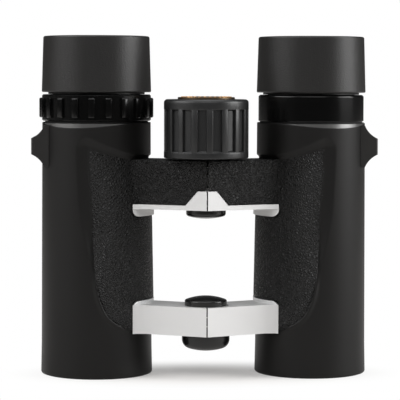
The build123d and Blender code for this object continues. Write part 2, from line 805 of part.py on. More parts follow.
def prism_group(side_name):
    """Roof-prism pair on a cup-shaped holder, held down by a spring clip."""
    side = sides[side_name]
    centre = barrel(side)
    floor_high = holder_bottom + holder_floor
    base = prism_base
    half = prism_half
    with BuildPart() as holder:
        ring(centre, 0, holder_outer, holder_bottom, holder_top)
        ring(centre, 0, holder_inner, floor_high, holder_top, mode=Mode.SUBTRACT)
        ring(centre, 0, half, holder_bottom, floor_high, mode=Mode.SUBTRACT)
    save(holder, f"{side_name}_prism_holder")
    prism_plane = Plane(
        origin=(centre[0], barrel_y + half, base),
        x_dir=(1, 0, 0),
        z_dir=(0, -1, 0),
    )
    shift = prism_shift
    with BuildPart() as entry:
        with BuildSketch(prism_plane) as face:
            Polygon(
                (shift + half, 0),
                (shift - sqrt(2) * half, (1 + sqrt(2)) * half),
                (shift - prism_spread * half, 2 * half),
                (shift - half, 0),
                align=None,
            )
        extrude(face.sketch, amount=2 * half)
    save(entry, f"{side_name}_entry_prism")
    slide = prism_gap * sqrt(2)
    with BuildPart() as roof:
        with BuildSketch(prism_plane) as face:
            Polygon(
                (shift + slide - sqrt(2) * half, (1 + sqrt(2)) * half),
                (shift + slide + (2 - sqrt(2)) * half, (sqrt(2) - 1) * half),
                (shift + slide + sqrt(2) * half, (1 + sqrt(2)) * half),
                align=None,
            )
        extrude(face.sketch, amount=2 * half)
        ridge_start = Vector(centre[0] + shift + slide + (2 - sqrt(2)) * half, barrel_y,
                             base + (sqrt(2) - 1) * half)
        ridge_end = Vector(centre[0] + shift + slide + sqrt(2) * half, barrel_y, prism_crest)
        along = (ridge_end - ridge_start).normalized()
        roof_plane = Plane(origin=ridge_start, x_dir=(0, 1, 0), z_dir=along)
        ridge_length = (ridge_end - ridge_start).length
        with BuildSketch(roof_plane) as gable:
            Polygon((half, 0), (-half, 0), (0, -roof_rise), align=None)
        extrude(gable.sketch, amount=ridge_length)
    save(roof, f"{side_name}_roof_prism")
    with BuildPart() as clip:
        ring(centre, half + prism_clip_thickness, prism_clip_outer, prism_clip_bottom, prism_clip_top)
        with BuildSketch(Plane.XY.offset(floor_high)) as legs:
            with Locations(centre):
                Circle(prism_clip_outer)
                Circle(prism_clip_outer - prism_clip_leg, mode=Mode.SUBTRACT)
                Rectangle(prism_clip_width, 2 * prism_clip_outer, mode=Mode.INTERSECT)
        extrude(legs.sketch, amount=prism_clip_top - floor_high)
    save(clip, f"{side_name}_prism_clip")


def eyepiece(side_name):
    """Eyepiece tube, lens cell with two lenses, and the seal under the ring."""
    centre = barrel(sides[side_name])
    with BuildPart() as tube:
        profile = [
            (eyepiece_tube_room, eyepiece_tube_bottom),
            (chassis_bore - seat_gap, eyepiece_tube_bottom),
            (chassis_bore - seat_gap, chassis_top),
            (eyepiece_tube_radius, chassis_top),
            (eyepiece_tube_radius, eyepiece_tube_top),
            (eyepiece_tube_bore, eyepiece_tube_top),
            (eyepiece_tube_bore, eyepiece_room_top),
            (eyepiece_tube_room, eyepiece_room_top),
        ]
        turned(profile, centre)
        groove_depth = key_depth + touch_gap
        with BuildSketch(Plane.XY.offset(ring_top)) as groove:
            with Locations((centre[0], barrel_y + eyepiece_tube_radius)):
                Rectangle(key_width + 2 * running_gap, 2 * groove_depth)
        extrude(groove.sketch, amount=eyepiece_tube_top - ring_top, mode=Mode.SUBTRACT)
    save(tube, f"{side_name}_eyepiece_tube")
    outer = eyepiece_tube_bore - (running_gap if side_name == "left" else seat_gap)
    lens_radius = outer - cell_wall
    with BuildPart() as cell:
        ring(centre, lens_radius + seat_gap, outer, cell_bottom, cell_top)
        eye_stop = eye_lens_bottom + eyepiece_lens_edge + lens_clear
        for low in (field_lens_bottom - cell_seat, eye_lens_bottom - cell_seat, eye_stop):
            ring(centre, lens_radius - cell_seat, lens_radius + cell_wall / 2, low, low + cell_seat)
    save(cell, f"{side_name}_eyepiece_cell")
    with BuildPart() as glass:
        lens(centre, lens_radius, field_lens_bottom, field_lens_bottom + eyepiece_lens_edge, 0,
             eyepiece_lens_sag)
    save(glass, f"{side_name}_field_lens")
    with BuildPart() as glass:
        lens(centre, lens_radius, eye_lens_bottom, eye_lens_bottom + eyepiece_lens_edge, 0,
             eyepiece_lens_sag / 2)
    save(glass, f"{side_name}_eye_lens")
    with BuildPart() as seal:
        ring(centre, seal_inner, seal_outer, chassis_top, ring_bottom - touch_gap)
    save(seal, f"{side_name}_eyepiece_seal")


def diopter_ring():
    """Ribbed ring under the left eyecup that sets the eyepiece."""
    centre = barrel(sides["left"])
    inner = eyepiece_tube_radius + running_gap
    with BuildPart() as ribbed:
        profile = [
            (inner, ring_bottom),
            (diopter_radius - ring_chamfer, ring_bottom),
            (diopter_radius, ring_bottom + ring_chamfer),
            (diopter_radius, ring_top - ring_chamfer),
            (diopter_radius - ring_chamfer, ring_top),
            (inner, ring_top),
        ]
        turned(profile, centre)
        rib_low = ring_bottom + diopter_rib_low
        rib_high = ring_top - diopter_rib_high
        for step in range(diopter_rib_count):
            angle = radians(diopter_rib_turn + 360 * step / diopter_rib_count)
            outward = (cos(angle), sin(angle), 0)
            rib_plane = Plane(
                origin=(*centre, (rib_low + rib_high) / 2),
                x_dir=(-sin(angle), cos(angle), 0),
                z_dir=outward,
            ).offset(diopter_radius - ring_chamfer)
            with BuildSketch(rib_plane) as rib:
                RectangleRounded(diopter_rib_width, rib_high - rib_low, diopter_rib_round)
            extrude(rib.sketch, amount=diopter_rib_radius - diopter_radius + ring_chamfer)
    save(ribbed, "left_diopter_ring")


def eyepiece_collar():
    """Smooth fixed ring under the right eyecup."""
    centre = barrel(sides["right"])
    inner = eyepiece_tube_radius + seat_gap
    with BuildPart() as collar:
        profile = [
            (inner, ring_bottom),
            (collar_radius, ring_bottom),
            (collar_radius, ring_top - ring_chamfer),
            (collar_radius - ring_chamfer, ring_top),
            (inner, ring_top),
        ]
        turned(profile, centre)
    save(collar, "right_eyepiece_collar")


def eyecup(side_name):
    """Twist-up eyecup: rubber skin on a rigid core that turns on a keyed lift ring."""
    centre = barrel(sides[side_name])
    core_high = cup_top - cup_lip - seat_gap
    lift_top = cup_bottom + touch_gap + lift_ring_height
    with BuildPart() as lift:
        ring(centre, lift_inner, lift_outer, cup_bottom + touch_gap, lift_top)
        with BuildSketch(Plane.XY.offset(cup_bottom + touch_gap)) as key:
            with Locations((centre[0], barrel_y + lift_outer - (lift_ring_wall + key_depth) / 2)):
                Rectangle(key_width, key_depth + lift_ring_wall)
        extrude(key.sketch, amount=lift_ring_height)
        ring(centre, lift_outer, 2 * lift_outer, cup_bottom, lift_top, mode=Mode.SUBTRACT)
    save(lift, f"{side_name}_eyecup_lift_ring")
    with BuildPart() as core:
        profile = [
            (lift_outer + running_gap, cup_bottom - core_foot),
            (core_outer, cup_bottom - core_foot),
            (core_outer, core_high),
            (cup_opening, core_high),
            (cup_opening, core_high - core_lip),
            (eyepiece_tube_radius + cup_clear, core_high - core_lip),
            (eyepiece_tube_radius + cup_clear, lift_top + touch_gap),
            (lift_outer + running_gap, lift_top + touch_gap),
        ]
        turned(profile, centre)
    save(core, f"{side_name}_eyecup_core")
    with BuildPart() as skin:
        profile = [
            (core_outer + seat_gap, cup_bottom),
            (cup_radius_low, cup_bottom),
            (cup_radius_high, cup_top),
            (cup_opening, cup_top),
            (cup_opening, cup_top - cup_lip),
            (core_outer + seat_gap, cup_top - cup_lip),
        ]
        rounds = [
            ((cup_radius_low, cup_bottom), cup_foot_round),
            ((cup_radius_high, cup_top), cup_edge_round),
            ((cup_opening, cup_top), cup_edge_round),
        ]
        turned(profile, centre, rounds)
    save(skin, f"{side_name}_eyecup_skin")


def hinge_parts():
    """Shaft, pin, caps and friction washers of the two hinges."""
    neck_low = upper_bridge_top
    with BuildPart() as shaft:
        ring(hinge, shaft_bore, shaft_radius, upper_bridge_bottom, neck_low)
        ring(hinge, shaft_bore, shaft_neck_radius, neck_low, shaft_top)
        clip_low = knob_bearing_top + touch_gap
        ring(hinge, shaft_neck_radius - clip_groove, shaft_radius, clip_low - touch_gap / 2,
             clip_low + clip_thickness + touch_gap / 2, mode=Mode.SUBTRACT)
        beam(sides["left"], 0, shaft_radius + arm_slack, tunnel_width, tunnel_low, tunnel_high,
             mode=Mode.SUBTRACT)
        start = degrees(atan2(hinge_offset, eye_distance / 2))
        spread = degrees(asin(tunnel_width / 2 / shaft_bore))
        turn = (fold_angle + 2 * spread) / slot_steps
        sweep = [radians(start - spread + turn * step) for step in range(slot_steps + 1)]
        reach = 2 * shaft_radius
        wedge = [(reach * cos(angle), hinge_y + reach * sin(angle)) for angle in sweep]
        plate([hinge, *wedge], tunnel_low, tunnel_high, mode=Mode.SUBTRACT)
    save(shaft, "hinge_shaft")
    with BuildPart() as pin:
        low = lower_bridge_bottom - lower_pin_reach
        high = lower_bridge_top + lower_pin_reach
        ring(hinge, 0, lower_pin_radius, low, high)
    save(pin, "lower_hinge_pin")
    with BuildPart() as cap:
        seat = upper_bridge_bottom - touch_gap
        domed_cap(upper_cap_radius, seat, -1, upper_cap_rim, upper_cap_dome, upper_cap_round)
        ring(hinge, 0, shaft_bore - seat_gap, seat, spigot_top)
    save(cap, "upper_hinge_cap")
    with BuildPart() as cap:
        seat = lower_bridge_top + touch_gap
        domed_cap(lower_top_cap_radius, seat, 1, lower_top_cap_rim, lower_top_cap_dome, lower_top_cap_round)
        pin_end = lower_bridge_top + lower_pin_reach + touch_gap
        ring(hinge, 0, lower_pin_radius + seat_gap, seat, pin_end, mode=Mode.SUBTRACT)
    save(cap, "lower_hinge_top_cap")
    with BuildPart() as cap:
        seat = lower_bridge_bottom - touch_gap
        domed_cap(lower_bottom_cap_radius, seat, -1, lower_bottom_cap_rim, lower_bottom_cap_dome,
                  lower_bottom_cap_round)
        pin_end = lower_bridge_bottom - lower_pin_reach - touch_gap
        ring(hinge, 0, lower_pin_radius + seat_gap, pin_end, seat, mode=Mode.SUBTRACT)
    save(cap, "lower_hinge_bottom_cap")
    with BuildPart() as washers:
        upper_outer = upper_knuckle_radius - washer_inset
        for low in (left_low[1], right_high[1]):
            ring(hinge, shaft_radius + running_gap, upper_outer, low, low + washer_thickness)
        lower_outer = lower_knuckle_radius - washer_inset
        for low in (left_bottom[1], right_middle[1]):
            ring(hinge, lower_pin_radius + running_gap, lower_outer, low, low + washer_thickness)
    save(washers, "hinge_washers")


def focus_knob():
    """Fluted knob with its nut, badge disc and retaining clip, and the spindle it drives."""
    hub_low = knob_bottom + knob_floor_lift
    roof_low = knob_top - knob_roof
    with BuildPart() as knob:
        profile = [
            (shaft_neck_radius + running_gap, hub_low),
            (knob_hub_radius, hub_low),
            (knob_hub_radius, roof_low),
            (knob_radius - knob_wall, roof_low),
            (knob_radius - knob_wall, knob_bottom),
            (knob_radius, knob_bottom),
            (knob_radius, knob_top),
            (badge_radius + seat_gap, knob_top),
            (badge_radius + seat_gap, knob_top - badge_sink),
            (0, knob_top - badge_sink),
            (0, knob_hub_top),
            (nut_radius + seat_gap, knob_hub_top),
            (nut_radius + seat_gap, knob_bearing_top),
            (shaft_neck_radius + running_gap, knob_bearing_top),
        ]
        rounds = [
            ((knob_radius, knob_top), knob_edge_round),
            ((knob_radius, knob_bottom), knob_foot_round),
        ]
        turned(profile, hinge, rounds)
        low = knob_bottom + pocket_low
        high = knob_top - pocket_high
        for step in range(pocket_count):
            angle = radians(pocket_turn + 360 * step / pocket_count)
            pocket_plane = Plane(
                origin=(*hinge, (low + high) / 2),
                x_dir=(-sin(angle), cos(angle), 0),
                z_dir=(cos(angle), sin(angle), 0),
            ).offset(knob_radius - pocket_depth)
            with BuildSketch(pocket_plane) as pocket:
                RectangleRounded(pocket_width, high - low, pocket_round)
            extrude(pocket.sketch, amount=knob_radius, mode=Mode.SUBTRACT)
    save(knob, "focus_knob")
    with BuildPart() as badge:
        low = knob_top - badge_sink
        profile = [(0, low), (badge_radius, low), (badge_radius, low + badge_height), (0, low + badge_height)]
        turned(profile, hinge, rounds=[((badge_radius, low + badge_height), badge_round)])
    save(badge, "focus_knob_disc")
    with BuildPart() as nut:
        ring(hinge, thread_radius + running_gap, nut_radius, nut_bottom, nut_top)
    save(nut, "focus_nut")
    with BuildPart() as clip:
        low = knob_bearing_top + touch_gap
        inner = shaft_neck_radius - clip_groove + running_gap
        ring(hinge, inner, inner + clip_reach, low, low + clip_thickness)
        front_box(1, -clip_slot / 2, clip_slot / 2, low, low + clip_thickness, hinge_y, far)
    save(clip, "knob_retaining_clip")
    clip_high = arm_bottom - touch_gap
    with BuildPart() as spindle:
        profile = [
            (0, spindle_bottom),
            (spindle_radius, spindle_bottom),
            (spindle_radius, clip_high - clip_thickness - touch_gap),
            (spindle_radius - spindle_groove, clip_high - clip_thickness - touch_gap),
            (spindle_radius - spindle_groove, clip_high + touch_gap / 2),
            (spindle_radius, clip_high + touch_gap / 2),
            (spindle_radius, arm_top + touch_gap),
            (thread_radius, arm_top + touch_gap),
            (thread_radius, spindle_top),
            (0, spindle_top),
        ]
        turned(profile, hinge)
    save(spindle, "focus_spindle")
    with BuildPart() as clip:
        inner = spindle_radius - spindle_groove + seat_gap
        ring(hinge, inner, arm_ring_radius, clip_high - clip_thickness, clip_high)
        front_box(1, -inner, inner, clip_high - clip_thickness, clip_high, hinge_y, far)
    save(clip, "spindle_clip")


for name in sides:
    chassis(name)
    armour(name)
    grip_cover(name)
    strap_lug(name)
    objective(name)
    focus_group(name)
    prism_group(name)
    eyepiece(name)
    eyecup(name)
diopter_ring()
eyepiece_collar()
hinge_parts()
focus_knob()
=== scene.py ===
# %% [markdown]
# # Dressing a pair of compact binoculars
# The solids arrive as a finished CAD frame: every piece is in metres, in one shared space, and
# each one already rides on the body that moves it. In this lesson Blender adds what CAD leaves
# out: soft rubber forms, eased edges, grain, gloss, and the light of a small photo tent.

import json
from math import cos, pi, radians, sin

import bmesh
import bpy
import numpy as np
from mathutils import Matrix, Vector

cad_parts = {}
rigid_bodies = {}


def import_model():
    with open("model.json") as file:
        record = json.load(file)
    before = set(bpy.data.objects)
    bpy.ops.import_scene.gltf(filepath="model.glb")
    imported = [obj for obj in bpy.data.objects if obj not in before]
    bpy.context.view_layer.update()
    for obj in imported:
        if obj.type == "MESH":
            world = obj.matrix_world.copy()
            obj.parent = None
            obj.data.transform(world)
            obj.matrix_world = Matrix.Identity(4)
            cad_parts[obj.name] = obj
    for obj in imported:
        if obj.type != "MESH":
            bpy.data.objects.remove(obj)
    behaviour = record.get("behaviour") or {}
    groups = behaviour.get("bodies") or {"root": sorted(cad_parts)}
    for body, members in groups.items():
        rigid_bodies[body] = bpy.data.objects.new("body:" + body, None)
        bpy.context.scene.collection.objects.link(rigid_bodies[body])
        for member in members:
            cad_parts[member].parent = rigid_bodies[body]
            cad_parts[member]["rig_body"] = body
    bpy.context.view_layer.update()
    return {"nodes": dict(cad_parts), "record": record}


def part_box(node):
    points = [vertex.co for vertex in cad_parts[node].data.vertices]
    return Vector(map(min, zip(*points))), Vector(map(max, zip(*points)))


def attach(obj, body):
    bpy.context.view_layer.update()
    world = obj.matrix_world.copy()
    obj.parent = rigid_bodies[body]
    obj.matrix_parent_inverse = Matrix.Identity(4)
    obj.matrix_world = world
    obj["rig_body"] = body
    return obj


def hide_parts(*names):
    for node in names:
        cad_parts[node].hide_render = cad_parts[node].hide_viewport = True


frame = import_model()
mm = 0.001
node = frame["nodes"]
collection = bpy.context.scene.collection

# %% [markdown]
# ## Where things are
# A barrel's axis runs through the middle of its eyecup, and the hinge axis through the middle of
# the focus knob. Reading both from the frame keeps every new piece on its solid, even if a size
# in the CAD model changes later. `side` is -1 for the half on the left and +1 for the right.


# %% Find the axes
def middle(name):
    low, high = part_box(name)
    return (low + high) / 2


sides = {"left": -1, "right": 1}
barrel = {name: middle(f"{name}_eyecup_skin") for name in sides}
hinge = middle("focus_knob")
for name, point in barrel.items():
    print(name, "barrel axis at", [round(value / mm, 2) for value in point[:2]])

# %% [markdown]
# ## Shader maths as plain expressions
# A material is a small program. Wiring Math nodes by hand hides it, so one class wraps a socket
# and overloads the operators: `1 - mask * 0.3` then adds the nodes it needs. Every other node
# comes from `node_out`, which sets a node's options first and then its sockets.


# %% A socket that does arithmetic
class Wire:
    def __init__(self, tree, socket):
        self.tree = tree
        self.socket = socket

    def maths(self, operation, first, second):
        made = self.tree.nodes.new("ShaderNodeMath")
        made.operation = operation
        for slot, value in enumerate((first, second)):
            plug(self.tree, made.inputs[slot], value)
        return Wire(self.tree, made.outputs[0])

    def __add__(self, other):
        return self.maths("ADD", self, other)

    def __radd__(self, other):
        return self.maths("ADD", other, self)

    def __sub__(self, other):
        return self.maths("SUBTRACT", self, other)

    def __rsub__(self, other):
        return self.maths("SUBTRACT", other, self)

    def __mul__(self, other):
        return self.maths("MULTIPLY", self, other)

    def __rmul__(self, other):
        return self.maths("MULTIPLY", other, self)


def plug(tree, socket, value):
    """Link a wire to a socket, or set the socket to a plain value."""
    if isinstance(value, Wire):
        tree.links.new(value.socket, socket)
    else:
        socket.default_value = value


def node_out(tree, kind, output, settings=None, **inputs):
    """Add a node, fill its sockets, and give back one of its outputs."""
    made = tree.nodes.new(kind)
    for key, value in (settings or {}).items():
        setattr(made, key, value)
    for key, value in inputs.items():
        plug(tree, made.inputs[key.replace("_", " ")], value)
    return Wire(tree, made.outputs[output])


colour_a = 6
colour_b = 7
colour_result = 2


def tint(tree, dark, light, factor):
    """Mix two colours; a Mix node keeps its colour sockets behind those for numbers and vectors."""
    made = tree.nodes.new("ShaderNodeMix")
    made.data_type = "RGBA"
    plug(tree, made.inputs[0], factor)
    made.inputs[colour_a].default_value = (*dark, 1)
    made.inputs[colour_b].default_value = (*light, 1)
    return Wire(tree, made.outputs[colour_result])


print("shader helpers ready")

# %% [markdown]
# ## One recipe for every finish
# Each finish starts from a Principled shader. Numbers that hold all over the surface are set on
# its own sockets; a grain that changes over the surface feeds only colour, roughness and a Bump.
# The grain reads Object coordinates in metres, so its scale is a real size in millimetres.


# %% Start a finish
def start_finish(name, **constants):
    material = bpy.data.materials.new(name)
    material.use_nodes = True
    tree = material.node_tree
    shader = tree.nodes["Principled BSDF"]
    for key, value in constants.items():
        shader.inputs[key.replace("_", " ")].default_value = value
    place = node_out(tree, "ShaderNodeTexCoord", "Object")
    return material, tree, shader, place


fine_detail = 2.0
plain_detail = 1.0
noise_rough = 0.55


def speckle(tree, place, size, detail=fine_detail):
    return node_out(
        tree, "ShaderNodeTexNoise", 0, Vector=place, Scale=1 / (size * mm), Detail=detail,
        Roughness=noise_rough,
    )


def bump(tree, shader, height, depth):
    normal = node_out(tree, "ShaderNodeBump", 0, Height=height, Distance=depth * mm, Strength=1.0)
    plug(tree, shader.inputs["Normal"], normal)


print("finish helpers ready")

# %% [markdown]
# ## Plain finishes
# Most surfaces are one colour with a fine grain: moulded rubber, lacquer, anodised or bare metal. A
# picture could be wrapped round them, but a noise at two sizes needs no picture and has no seams.
# The small noise is the grain, the wide one a slow drift of tone. `grey` can lean warm, as black
# rubber does, or cool, as anodised metal does.

# %% A plain finish
drift_size = 14.0
drift_share = 0.6


def plain_finish(name, dark, light, rough, grain_size, depth, spread=0.08, **constants):
    material, tree, shader, place = start_finish(name, **constants)
    grain = speckle(tree, place, grain_size)
    drift = speckle(tree, place, drift_size, plain_detail)
    tone = drift * drift_share + grain * (1 - drift_share)
    plug(tree, shader.inputs["Base Color"], tint(tree, dark, light, tone))
    plug(tree, shader.inputs["Roughness"], grain * spread + (rough - spread / 2))
    bump(tree, shader, grain, depth)
    return material


def grey(level, warm=0.0):
    return (level * (1 + warm), level, level * (1 - warm))


print("a grey that leans warm:", grey(0.5, 0.1))

# %% [markdown]
# ## Rubber, plastic and lacquer
# The barrels and eyecups are black rubber, the cells inside are moulded plastic, and the rings and
# hinge caps are lacquered. All are nearly the same black, so what tells them apart is how sharply
# they reflect: the rubber is rough, the caps are glossy, and the rings are glossier still.

# %% Rubber, plastic and lacquer
rubber_warmth = 0.05
nylon_warmth = 0.02
armour_rubber = plain_finish(
    "armour_rubber", grey(0.0045, rubber_warmth), grey(0.0065, rubber_warmth),
    rough=0.44, grain_size=0.3, depth=0.014, Specular_IOR_Level=0.22,
)
eyecup_rubber = plain_finish(
    "eyecup_rubber", grey(0.006, rubber_warmth), grey(0.01, rubber_warmth),
    rough=0.42, grain_size=0.45, depth=0.05, spread=0.1, Specular_IOR_Level=0.4,
)
hard_plastic = plain_finish(
    "hard_plastic", grey(0.01, rubber_warmth), grey(0.014, rubber_warmth),
    rough=0.42, grain_size=0.3, depth=0.01, Specular_IOR_Level=0.4,
)
ring_lacquer = plain_finish(
    "ring_lacquer", grey(0.002), grey(0.003),
    rough=0.18, grain_size=0.4, depth=0.003, spread=0.05, Specular_IOR_Level=0.3,
)
cap_gloss = plain_finish(
    "cap_gloss", grey(0.003), grey(0.005),
    rough=0.24, grain_size=0.5, depth=0.004, spread=0.06, Specular_IOR_Level=0.45,
)
seal_rubber = plain_finish(
    "seal_rubber", grey(0.006), grey(0.009),
    rough=0.6, grain_size=0.3, depth=0.01, Specular_IOR_Level=0.2,
)
washer_nylon = plain_finish(
    "washer_nylon", grey(0.68, nylon_warmth), grey(0.75, nylon_warmth),
    rough=0.5, grain_size=0.4, depth=0.01,
)
print("finishes so far:", len(bpy.data.materials))

# %% [markdown]
# ## Metals
# The bridges are satin silver paint over a casting, which is why they are only partly metallic. The
# knob is anodised, and the shaft and nut are bare turned metal. The crowns are glossy metal with a dark
# base colour, which is painted shade under the eyepiece rings. The hinge knuckles and the split between
# the halves are painted black as the shade in that gap. A brushed grain could be added, but at this
# size a fine even grain looks the same.

# %% Metals
metal_coolness = -0.03
knob_anodised = plain_finish(
    "knob_anodised", grey(0.009, metal_coolness), grey(0.013, metal_coolness),
    rough=0.36, grain_size=0.18, depth=0.008, Specular_IOR_Level=0.45,
)
silver_satin = plain_finish(
    "silver_satin", grey(0.66), grey(0.71),
    rough=0.45, grain_size=0.16, depth=0.012, spread=0.1, Metallic=0.3,
)
# Painted shade: the crown's metal is glossy, and its dark base colour stands for the shade under the
# eyepiece ring.
crown_shade_metal = plain_finish(
    "crown_shade_metal", grey(0.27), grey(0.33),
    rough=0.3, grain_size=0.2, depth=0.008, spread=0.1, Metallic=1.0,
)
# Painted shade: the hinge knuckles and the split between the halves are coloured black to stand for the
# shade in that gap.
split_shade_black = plain_finish(
    "split_shade_black", grey(0.006), grey(0.009),
    rough=0.6, grain_size=0.3, depth=0.01, Specular_IOR_Level=0.15,
)
turned_steel = plain_finish(
    "turned_steel", grey(0.46), grey(0.56),
    rough=0.3, grain_size=0.2, depth=0.006, spread=0.1, Metallic=1.0,
)
turned_brass = plain_finish(
    "turned_brass", (0.58, 0.4, 0.15), (0.68, 0.5, 0.22),
    rough=0.3, grain_size=0.2, depth=0.006, spread=0.1, Metallic=1.0,
)
disc_bronze = plain_finish(
    "disc_bronze", (0.055, 0.036, 0.02), (0.075, 0.05, 0.028),
    rough=0.4, grain_size=0.15, depth=0.008, spread=0.1, Metallic=0.7,
)
rim_gold = plain_finish(
    "rim_gold", (0.5, 0.27, 0.1), (0.62, 0.36, 0.15),
    rough=0.34, grain_size=0.15, depth=0.008, spread=0.1, Metallic=0.9,
)
print("finishes so far:", len(bpy.data.materials))

# %% [markdown]
# ## Leatherette for the grip
# The grip panels are pressed with a fine pebble grain, each pebble just under a millimetre. Pebbles
# could be modelled, but there are thousands, and a texture gives them for nothing. Voronoi makes
# cells; the distance to a cell's edge rises from a narrow valley to a flat top, so the same number
# makes the bump, darkens the valleys and polishes the tops.

# %% Grip leatherette
pebble_size = 0.85
pebble_flank = 0.4
warp_size = 0.9
warp_reach = 0.35
panel_drift = 9.0
crumb_size = 0.3
valley_rough = 0.55
top_polish = 0.33
pebble_depth = 0.45
pebble_bump = 0.8
crumb_bump = 0.35
pebble_tone = 0.7
panel_warmth = 0.03
valley_black = grey(0.001, panel_warmth)
top_black = grey(0.004, panel_warmth)
grip_leatherette, tree, shader, place = start_finish("grip_leatherette", Specular_IOR_Level=0.30)
warp = node_out(tree, "ShaderNodeTexNoise", "Color", Vector=place, Scale=1 / (warp_size * mm))
bent = node_out(tree, "ShaderNodeVectorMath", 0, {"operation": "MULTIPLY_ADD"})
bend = bent.socket.node
plug(tree, bend.inputs[0], warp)
bend.inputs[1].default_value = (warp_reach * mm,) * 3
plug(tree, bend.inputs[2], place)
cells = node_out(
    tree, "ShaderNodeTexVoronoi", 0, {"feature": "DISTANCE_TO_EDGE"}, Vector=bent,
    Scale=1 / (pebble_size * mm),
)
pebble = node_out(
    tree, "ShaderNodeMapRange", 0, {"interpolation_type": "SMOOTHSTEP"}, Value=cells,
    From_Max=pebble_flank,
)
drift = speckle(tree, place, panel_drift, plain_detail)
height = pebble * pebble_bump + speckle(tree, place, crumb_size) * crumb_bump
tone = pebble * pebble_tone + drift * (1 - pebble_tone)
plug(tree, shader.inputs["Base Color"], tint(tree, valley_black, top_black, tone))
plug(tree, shader.inputs["Roughness"], valley_rough - pebble * top_polish)
bump(tree, shader, height, pebble_depth)
print("leatherette pebbles of", pebble_size, "mm")

# %% [markdown]
# ## Coated glass
# A coated lens looks almost black from outside with a faint tint in its reflection. A plain black
# gloss could pass for it, but then no light would go through. So the body of the glass transmits
# light, and a lens's dark colour stands for the blackened barrel behind it; the prisms are clear. A
# thin film, in nanometres, gives the tint: it is the same all over, so it is set on a socket.

# %% Glass finishes
glass_index = 1.52
film_index = 1.38
haze_size = 3.0
haze_loss = 0.97
haze_rough = 0.01
polish_rough = 0.005


def coated_glass(name, colour, film):
    material, tree, shader, place = start_finish(
        name, IOR=glass_index, Transmission_Weight=1.0,
        Thin_Film_Thickness=film, Thin_Film_IOR=film_index,
    )
    haze = speckle(tree, place, haze_size, plain_detail)
    hazy = tuple(channel * haze_loss for channel in colour)
    plug(tree, shader.inputs["Base Color"], tint(tree, colour, hazy, haze))
    plug(tree, shader.inputs["Roughness"], haze * haze_rough + polish_rough)
    return material


objective_glass = coated_glass("objective_glass", (0.52, 0.60, 0.56), film=420.0)
ocular_glass = coated_glass("ocular_glass", (0.26, 0.25, 0.31), film=340.0)
prism_glass = coated_glass("prism_glass", (0.95, 0.97, 0.96), film=0.0)
print("three kinds of glass")

# %% [markdown]
# ## Give every solid its finish
# Each solid of the frame names a material slot. A table from slot to finish dresses them all at
# once; the pieces that get a new shape below take their finish from the same table.

# %% Dress the solids
finish_of = {
    "silver_casting": silver_satin,
    "armour_rubber": armour_rubber,
    "grip_leatherette": grip_leatherette,
    "black_hard_plastic": hard_plastic,
    "black_ring_metal": ring_lacquer,
    "gloss_black_cap": cap_gloss,
    "objective_glass": objective_glass,
    "ocular_glass": ocular_glass,
    "prism_glass": prism_glass,
    "spring_steel": turned_steel,
    "seal_rubber": seal_rubber,
    "eyecup_rubber": eyecup_rubber,
    "knob_metal": knob_anodised,
    "bronze_disc": disc_bronze,
    "brass_nut": turned_brass,
    "nylon_washer": washer_nylon,
}
slot_of = {part["node"]: part["material_slot"] for part in frame["record"]["subparts"]}
for name, solid in node.items():
    solid.data.materials.clear()
    solid.data.materials.append(finish_of[slot_of[name]])
print("dressed", len(slot_of), "solids with", len(finish_of), "finishes")

# %% [markdown]
# ## Pieces and their bodies
# A new piece must ride on the body of the solid it stands for, hide that solid, and keep its
# material slot. One helper does all three, so that no piece can be forgotten.


# %% Stand a piece in for a solid
def stand_in(piece, name):
    if not piece.data.materials:
        piece.data.materials.append(finish_of[slot_of[name]])
    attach(piece, node[name]["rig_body"])
    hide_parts(name)
    return piece


def linked(name, mesh):
    piece = bpy.data.objects.new(name, mesh)
    collection.objects.link(piece)
    mesh.shade_smooth()
    return piece


def new_piece(name, points, faces):
    mesh = bpy.data.meshes.new(name)
    mesh.from_pydata([tuple(point) for point in points], [], faces)
    mesh.validate()
    return linked(name, mesh)


def outwards(piece):
    """Turn the faces of a closed skin outwards."""
    bm = bmesh.new()
    bm.from_mesh(piece.data)
    bmesh.ops.recalc_face_normals(bm, faces=bm.faces)
    bm.to_mesh(piece.data)
    bm.free()


def settle(piece):
    """Apply a piece's modifiers."""
    graph = bpy.context.evaluated_depsgraph_get()
    mesh = bpy.data.meshes.new_from_object(piece.evaluated_get(graph))
    piece.modifiers.clear()
    old = piece.data
    piece.data = mesh
    bpy.data.meshes.remove(old)
    return piece


print("piece helpers ready")

# %% [markdown]
# ## Eased edges
# CAD edges are razor sharp, and a razor edge catches no light. A copy of the solid's mesh is
# welded, its flat regions are joined back into single faces, and a Bevel modifier rounds every
# edge that is sharper than thirty degrees. Weighted normals then keep the flat faces flat.

# %% Ease the edges of a solid
weld_gap = 0.002 * mm
flat_turn = radians(0.8)
sharp_turn = radians(30)
bevel_steps = 3


def welded(name, flatten):
    """Copy of a solid's mesh with its seams closed and, if asked, its flat regions joined."""
    mesh = node[name].data.copy()
    bm = bmesh.new()
    bm.from_mesh(mesh)
    bmesh.ops.remove_doubles(bm, verts=bm.verts, dist=weld_gap)
    if flatten:
        bmesh.ops.dissolve_limit(bm, angle_limit=flat_turn, verts=bm.verts, edges=bm.edges)
    bm.to_mesh(mesh)
    bm.free()
    return mesh


def eased(name, width):
    piece = linked(f"{name}_eased", welded(name, flatten=True))
    bevel = piece.modifiers.new("Eased edges", "BEVEL")
    bevel.width = width * mm
    bevel.segments = bevel_steps
    bevel.limit_method = "ANGLE"
    bevel.angle_limit = sharp_turn
    weighted = piece.modifiers.new("Flat faces stay flat", "WEIGHTED_NORMAL")
    weighted.keep_sharp = True
    settle(piece)
    return stand_in(piece, name)


casting_ease = 0.55
lug_ease = 0.55
collar_ease = 0.25
for name in sides:
    eased(f"{name}_strap_lug", lug_ease)
eased("right_eyepiece_collar", collar_ease)
print("eased the strap lugs and the fixed ring")
